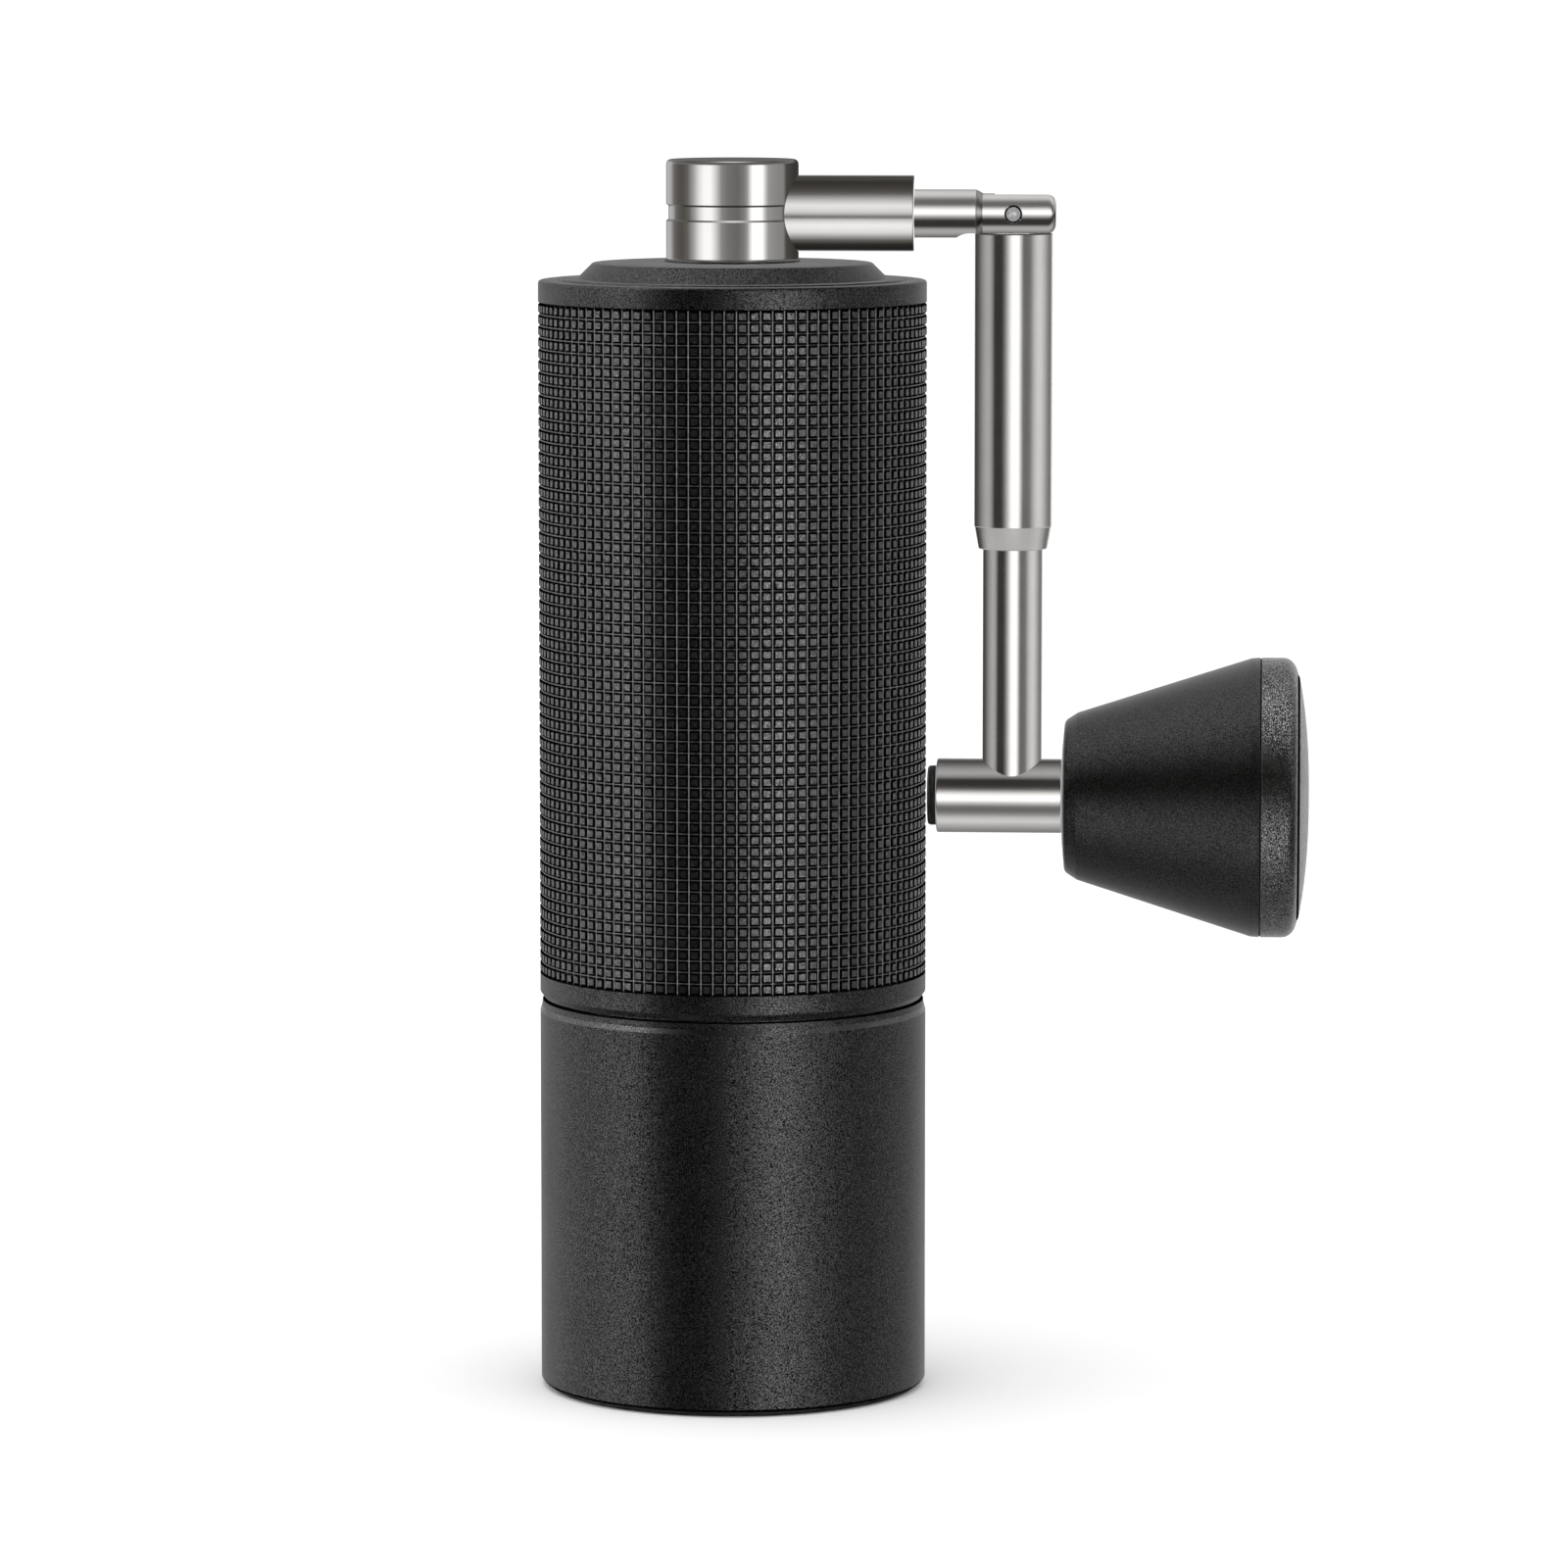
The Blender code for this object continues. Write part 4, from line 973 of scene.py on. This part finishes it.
def make_tent(
    name, radius, receivers, around=None, over=None, upward=None, band=(12, 28), high=None
):
    """Light tent that only reflections see: softboxes and dark gaps all round the object.

    Each stop is (degrees, brightness). around goes about the vertical: 0 is the front, and it
    grows to the right. over goes about the X axis: 0 is the front, it grows upwards, and the
    ends of the axis are dim. upward is the brightness by height alone, which takes over from
    around outside the band of heights. high goes about the vertical too, and holds between
    that band and 75 degrees up.
    """
    shape = bmesh.new()
    bmesh.ops.create_uvsphere(shape, u_segments=64, v_segments=32, radius=radius)
    mesh = bpy.data.meshes.new(name)
    shape.to_mesh(mesh)
    shape.free()
    n = Nodes(name + "_light")
    n.tree.nodes.remove(n.shader)
    output = n.tree.nodes["Material Output"]
    place = n.node("ShaderNodeNewGeometry")
    unit = n.node("ShaderNodeVectorMath", operation="NORMALIZE")
    n.link(place.outputs["Position"], unit.inputs[0])
    split = n.node("ShaderNodeSeparateXYZ")
    n.link(unit.outputs[0], split.inputs[0])
    flip = n.node("ShaderNodeMath", operation="MULTIPLY")
    n.link(split.outputs["Y"], flip.inputs[0])
    flip.inputs[1].default_value = -1.0
    turn = n.node("ShaderNodeMath", operation="ARCTAN2")
    n.link(split.outputs["X" if around else "Z"], turn.inputs[0])
    n.link(flip.outputs[0], turn.inputs[1])

    def warm(value):
        return 0.07 if value < 0.2 and name != "black_tent" else 0.0

    def brightness(source, stops, span):
        share = n.span(source, 0.0, 1.0, -math.radians(span), math.radians(span))
        scaled = [((at + span) / (2 * span), grey(value / 2, warm(value))) for at, value in stops]
        return n.ramp(share, *scaled)

    level = brightness(turn.outputs[0], around or over, 180)
    if over:
        end = n.node("ShaderNodeMath", operation="ABSOLUTE")
        n.link(split.outputs["X"], end.inputs[0])
        fade = n.node("ShaderNodeMapRange", interpolation_type="SMOOTHSTEP")
        limits = {"From Min": 0.72, "From Max": 0.95, "To Min": 1.0, "To Max": 0.4}
        for key, value in limits.items():
            fade.inputs[key].default_value = value
        n.link(end.outputs[0], fade.inputs["Value"])
        dim = n.node("ShaderNodeVectorMath", operation="SCALE")
        n.link(level, dim.inputs[0])
        n.link(fade.outputs["Result"], dim.inputs["Scale"])
        level = dim.outputs[0]
    if upward:
        rise = n.node("ShaderNodeMath", operation="ARCSINE")
        n.link(split.outputs["Z"], rise.inputs[0])
        above = brightness(rise.outputs[0], upward, 90)

        def blend(height, low, up, first, second):
            share = n.node("ShaderNodeMapRange", interpolation_type="SMOOTHSTEP")
            share.inputs["From Min"].default_value = math.radians(low)
            share.inputs["From Max"].default_value = math.radians(up)
            n.link(height, share.inputs["Value"])
            mix = n.node("ShaderNodeMix", data_type="RGBA")
            n.link(share.outputs["Result"], mix.inputs["Factor"])
            n.link(first, mix.inputs["A"])
            n.link(second, mix.inputs["B"])
            return mix.outputs["Result"]

        if high:
            slopes = brightness(turn.outputs[0], high, 180)
            top = blend(rise.outputs[0], 68, 80, slopes, above)
            above = blend(rise.outputs[0], -10, 10, above, top)
        size = n.node("ShaderNodeMath", operation="ABSOLUTE")
        n.link(rise.outputs[0], size.inputs[0])
        level = blend(size.outputs[0], band[0], band[1], level, above)
    glow = n.node("ShaderNodeEmission", Strength=2.0)
    n.link(level, glow.inputs["Color"])
    clear = n.node("ShaderNodeBsdfTransparent")
    both = n.node("ShaderNodeAddShader")
    n.link(glow.outputs[0], both.inputs[0])
    n.link(clear.outputs[0], both.inputs[1])
    n.link(both.outputs[0], output.inputs["Surface"])
    n.material.cycles.emission_sampling = "NONE"
    tent = add_mesh_object(name, mesh, n.material)
    tent.visible_camera = False
    tent.visible_diffuse = False
    tent.visible_transmission = False
    tent.visible_volume_scatter = False
    tent.visible_shadow = False
    lit = bpy.data.collections.new(name + "_lights")
    for obj in receivers:
        lit.objects.link(obj)
    tent.light_linking.receiver_collection = lit


ARM_AROUND = [
    (-173, 0.05), (-167, 1.00), (-156, 0.05), (-140, 0.08), (-123, 0.15), (-106, 0.37),
    (-91, 0.57), (-77, 0.65), (-68, 0.50), (-61, 0.30), (-56, 0.06), (-36, 0.05), (-31, 0.08),
    (-24, 0.24), (-14, 0.76), (-5, 1.50), (2, 1.90), (16, 1.90), (24, 0.90), (31, 0.24),
    (45, 0.22), (54, 0.31), (65, 0.70), (77, 0.97), (90, 1.00), (103, 0.76), (121, 0.40),
    (143, 0.20), (155, 0.70), (166, 1.30), (173, 0.05),
]
ARM_UPWARD = [
    (-90, 0.90), (-60, 0.60), (-40, 0.70), (-20, 1.00), (0, 0.60), (30, 0.20), (50, 0.10),
    (66, 0.60), (90, 0.80),
]
HUB_AROUND = [
    (-180, 0.12), (-165, 0.20), (-150, 0.70), (-130, 0.60), (-120, 0.25), (-108, 0.15),
    (-93, 0.12), (-80, 0.19), (-67, 0.58), (-56, 1.20), (-46, 1.60), (-34, 1.60), (-25, 1.05),
    (-15, 0.40), (-5, 0.28), (13, 0.22), (24, 0.32), (30, 0.50), (36, 1.30), (40, 1.90),
    (57, 1.90), (64, 0.95), (70, 0.50), (88, 0.40), (104, 0.36), (112, 0.10), (138, 0.06),
    (180, 0.04),
]
HUB_UPWARD = [
    (-90, 0.02), (-40, 0.05), (-20, 0.30), (0, 0.50), (25, 0.25), (50, 0.12), (70, 0.30),
    (84, 1.20), (90, 1.20),
]
COLLAR_OVER = [
    (-180, 1.20), (-162, 0.90), (-148, 0.04), (-128, 0.02), (-105, 0.04), (-87, 0.16),
    (-71, 0.58), (-57, 1.12), (-43, 1.36), (-30, 1.44), (-19, 1.10), (-13, 0.80), (-9, 0.26),
    (-4, 0.28), (2, 0.75), (8, 1.00), (16, 1.20), (28, 1.32), (39, 0.97), (51, 0.56),
    (63, 0.20), (76, 0.10), (91, 0.07), (107, 0.05), (128, 0.10), (146, 0.08), (162, 0.60),
    (180, 1.20),
]
FORK_OVER = [
    (-180, 0.05), (-173, 0.05), (-165, 0.60), (-150, 0.14), (-128, 0.36), (-105, 0.60),
    (-87, 0.66), (-71, 0.38), (-64, 0.10), (-57, 0.05), (-32, 0.05), (-27, 0.10), (-18, 0.34),
    (-7, 0.87), (2, 1.60), (6, 1.90), (18, 1.80), (28, 1.30), (39, 0.60), (48, 0.24),
    (64, 0.22), (76, 0.36), (91, 0.79), (107, 1.00), (128, 0.90), (155, 0.40), (168, 1.20),
    (174, 0.10), (180, 0.05),
]
TUBE_OVER = [
    (-180, 1.10), (-165, 0.70), (-150, 0.26), (-123, 0.42), (-100, 0.70), (-82, 1.02),
    (-67, 0.86), (-53, 0.41), (-40, 0.21), (-27, 0.28), (-15, 0.94), (-7, 1.80), (4, 1.80),
    (11, 1.50), (19, 0.77), (26, 0.25), (32, 0.10), (40, 0.05), (56, 0.05), (61, 0.20),
    (67, 0.42), (80, 0.62), (95, 0.50), (112, 0.27), (134, 0.09), (150, 0.20), (180, 1.10),
]
KNOB_OVER = [
    (-180, 0.80), (-137, 0.50), (-110, 0.70), (-91, 0.55), (-74, 0.55), (-60, 0.75),
    (-46, 1.10), (-33, 1.50), (-21, 1.50), (-9, 1.05), (2, 0.50), (13, 0.16), (25, 0.04),
    (36, 0.14), (48, 0.50), (60, 1.15), (73, 1.70), (88, 1.90), (104, 1.60), (123, 1.10),
    (150, 0.80), (180, 0.80),
]
BLACK_AROUND = [
    (-180, 0.50), (-140, 0.50), (-123, 0.90), (-108, 0.95), (-96, 0.95), (-80, 1.10),
    (-60, 1.50), (-53, 1.15), (-46, 0.35), (-38, 0.05), (-18, 0.07), (-8, 0.10), (0, 0.25),
    (8, 0.50), (14, 0.85), (19, 1.35), (25, 2.00), (33, 2.00), (39, 1.75), (46, 1.15),
    (56, 0.75), (70, 0.45), (82, 0.34), (95, 0.46), (110, 0.65), (125, 0.55), (140, 0.60),
    (180, 0.50),
]
BLACK_HIGH = [
    (-180, 0.40), (-130, 0.80), (-110, 1.90), (-60, 1.90), (-45, 0.80), (-30, 0.06), (60, 0.03),
    (90, 0.25), (120, 0.70), (150, 0.60), (180, 0.40),
]
BLACK_UPWARD = [
    (-90, 0.20), (-50, 0.20), (-30, 0.35), (0, 0.60), (30, 0.70), (55, 1.00), (90, 1.30),
]


def make_tents():
    def named(*names):
        return [scene.objects[name] for name in names]

    hub, collar, fork, tube = named("hub"), named("collar"), named("fork", "pin"), named("tube")
    knob = named("knob", "cap")
    arm = named("arm", "sleeve")
    for material in (STEEL_PLAIN, BURR_STEEL, BEARING, BRASS):
        arm += [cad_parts[name] for name in KEPT[material]]
    black = [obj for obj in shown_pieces() if obj not in hub + collar + fork + tube + arm + knob]
    make_tent("hub_tent", 3.0, hub, around=HUB_AROUND, upward=HUB_UPWARD)
    make_tent("collar_tent", 3.1, collar, over=COLLAR_OVER)
    make_tent("fork_tent", 3.2, fork, over=FORK_OVER)
    make_tent("tube_tent", 3.3, tube, over=TUBE_OVER)
    make_tent("arm_tent", 3.4, arm, around=ARM_AROUND, upward=ARM_UPWARD)
    make_tent("knob_tent", 3.5, knob, over=KNOB_OVER)
    sides = {"around": BLACK_AROUND, "upward": BLACK_UPWARD, "high": BLACK_HIGH}
    make_tent("black_tent", 3.6, black, band=(20, 32), **sides)
    # The studio is all that they mirror, so that no piece shows up in another.
    for obj in black + hub + collar + fork + tube + arm + knob:
        obj.visible_glossy = False


def make_lights():
    middle = Vector((0.02, 0, 0.08))
    for name, place, size, power in (
        ("key", (0.5, -0.7, 1.6), 2.4, 6.0),
        ("fill", (-1.0, -0.5, 1.4), 2.4, 4.0),
    ):
        data = bpy.data.lights.new(name, "AREA")
        data.shape = "DISK"
        data.size = size
        data.energy = power
        lamp = bpy.data.objects.new(name, data)
        scene.collection.objects.link(lamp)
        lamp.location = place
        aim = middle - Vector(place)
        lamp.rotation_euler = aim.to_track_quat("-Z", "Y").to_euler()
        lamp.visible_glossy = False


def make_camera():
    data = bpy.data.cameras.new("camera")
    data.sensor_width = 36.0
    data.lens = 168.42
    camera = bpy.data.objects.new("camera", data)
    scene.collection.objects.link(camera)
    camera.location = (0.0709, -0.9792, 0.1915)
    looks = Vector((-0.06481, 0.99168, -0.11126))
    camera.rotation_euler = looks.to_track_quat("-Z", "Y").to_euler()
    data.clip_start = 0.05
    data.clip_end = 50.0
    scene.camera = camera


make_camera()
make_shell()
make_cup()
make_lid()
make_hub()
make_collar()
make_fork()
make_arm()
make_sleeve()
make_knob()
finish_kept()
make_floor()
make_world()
make_tents()
make_lights()
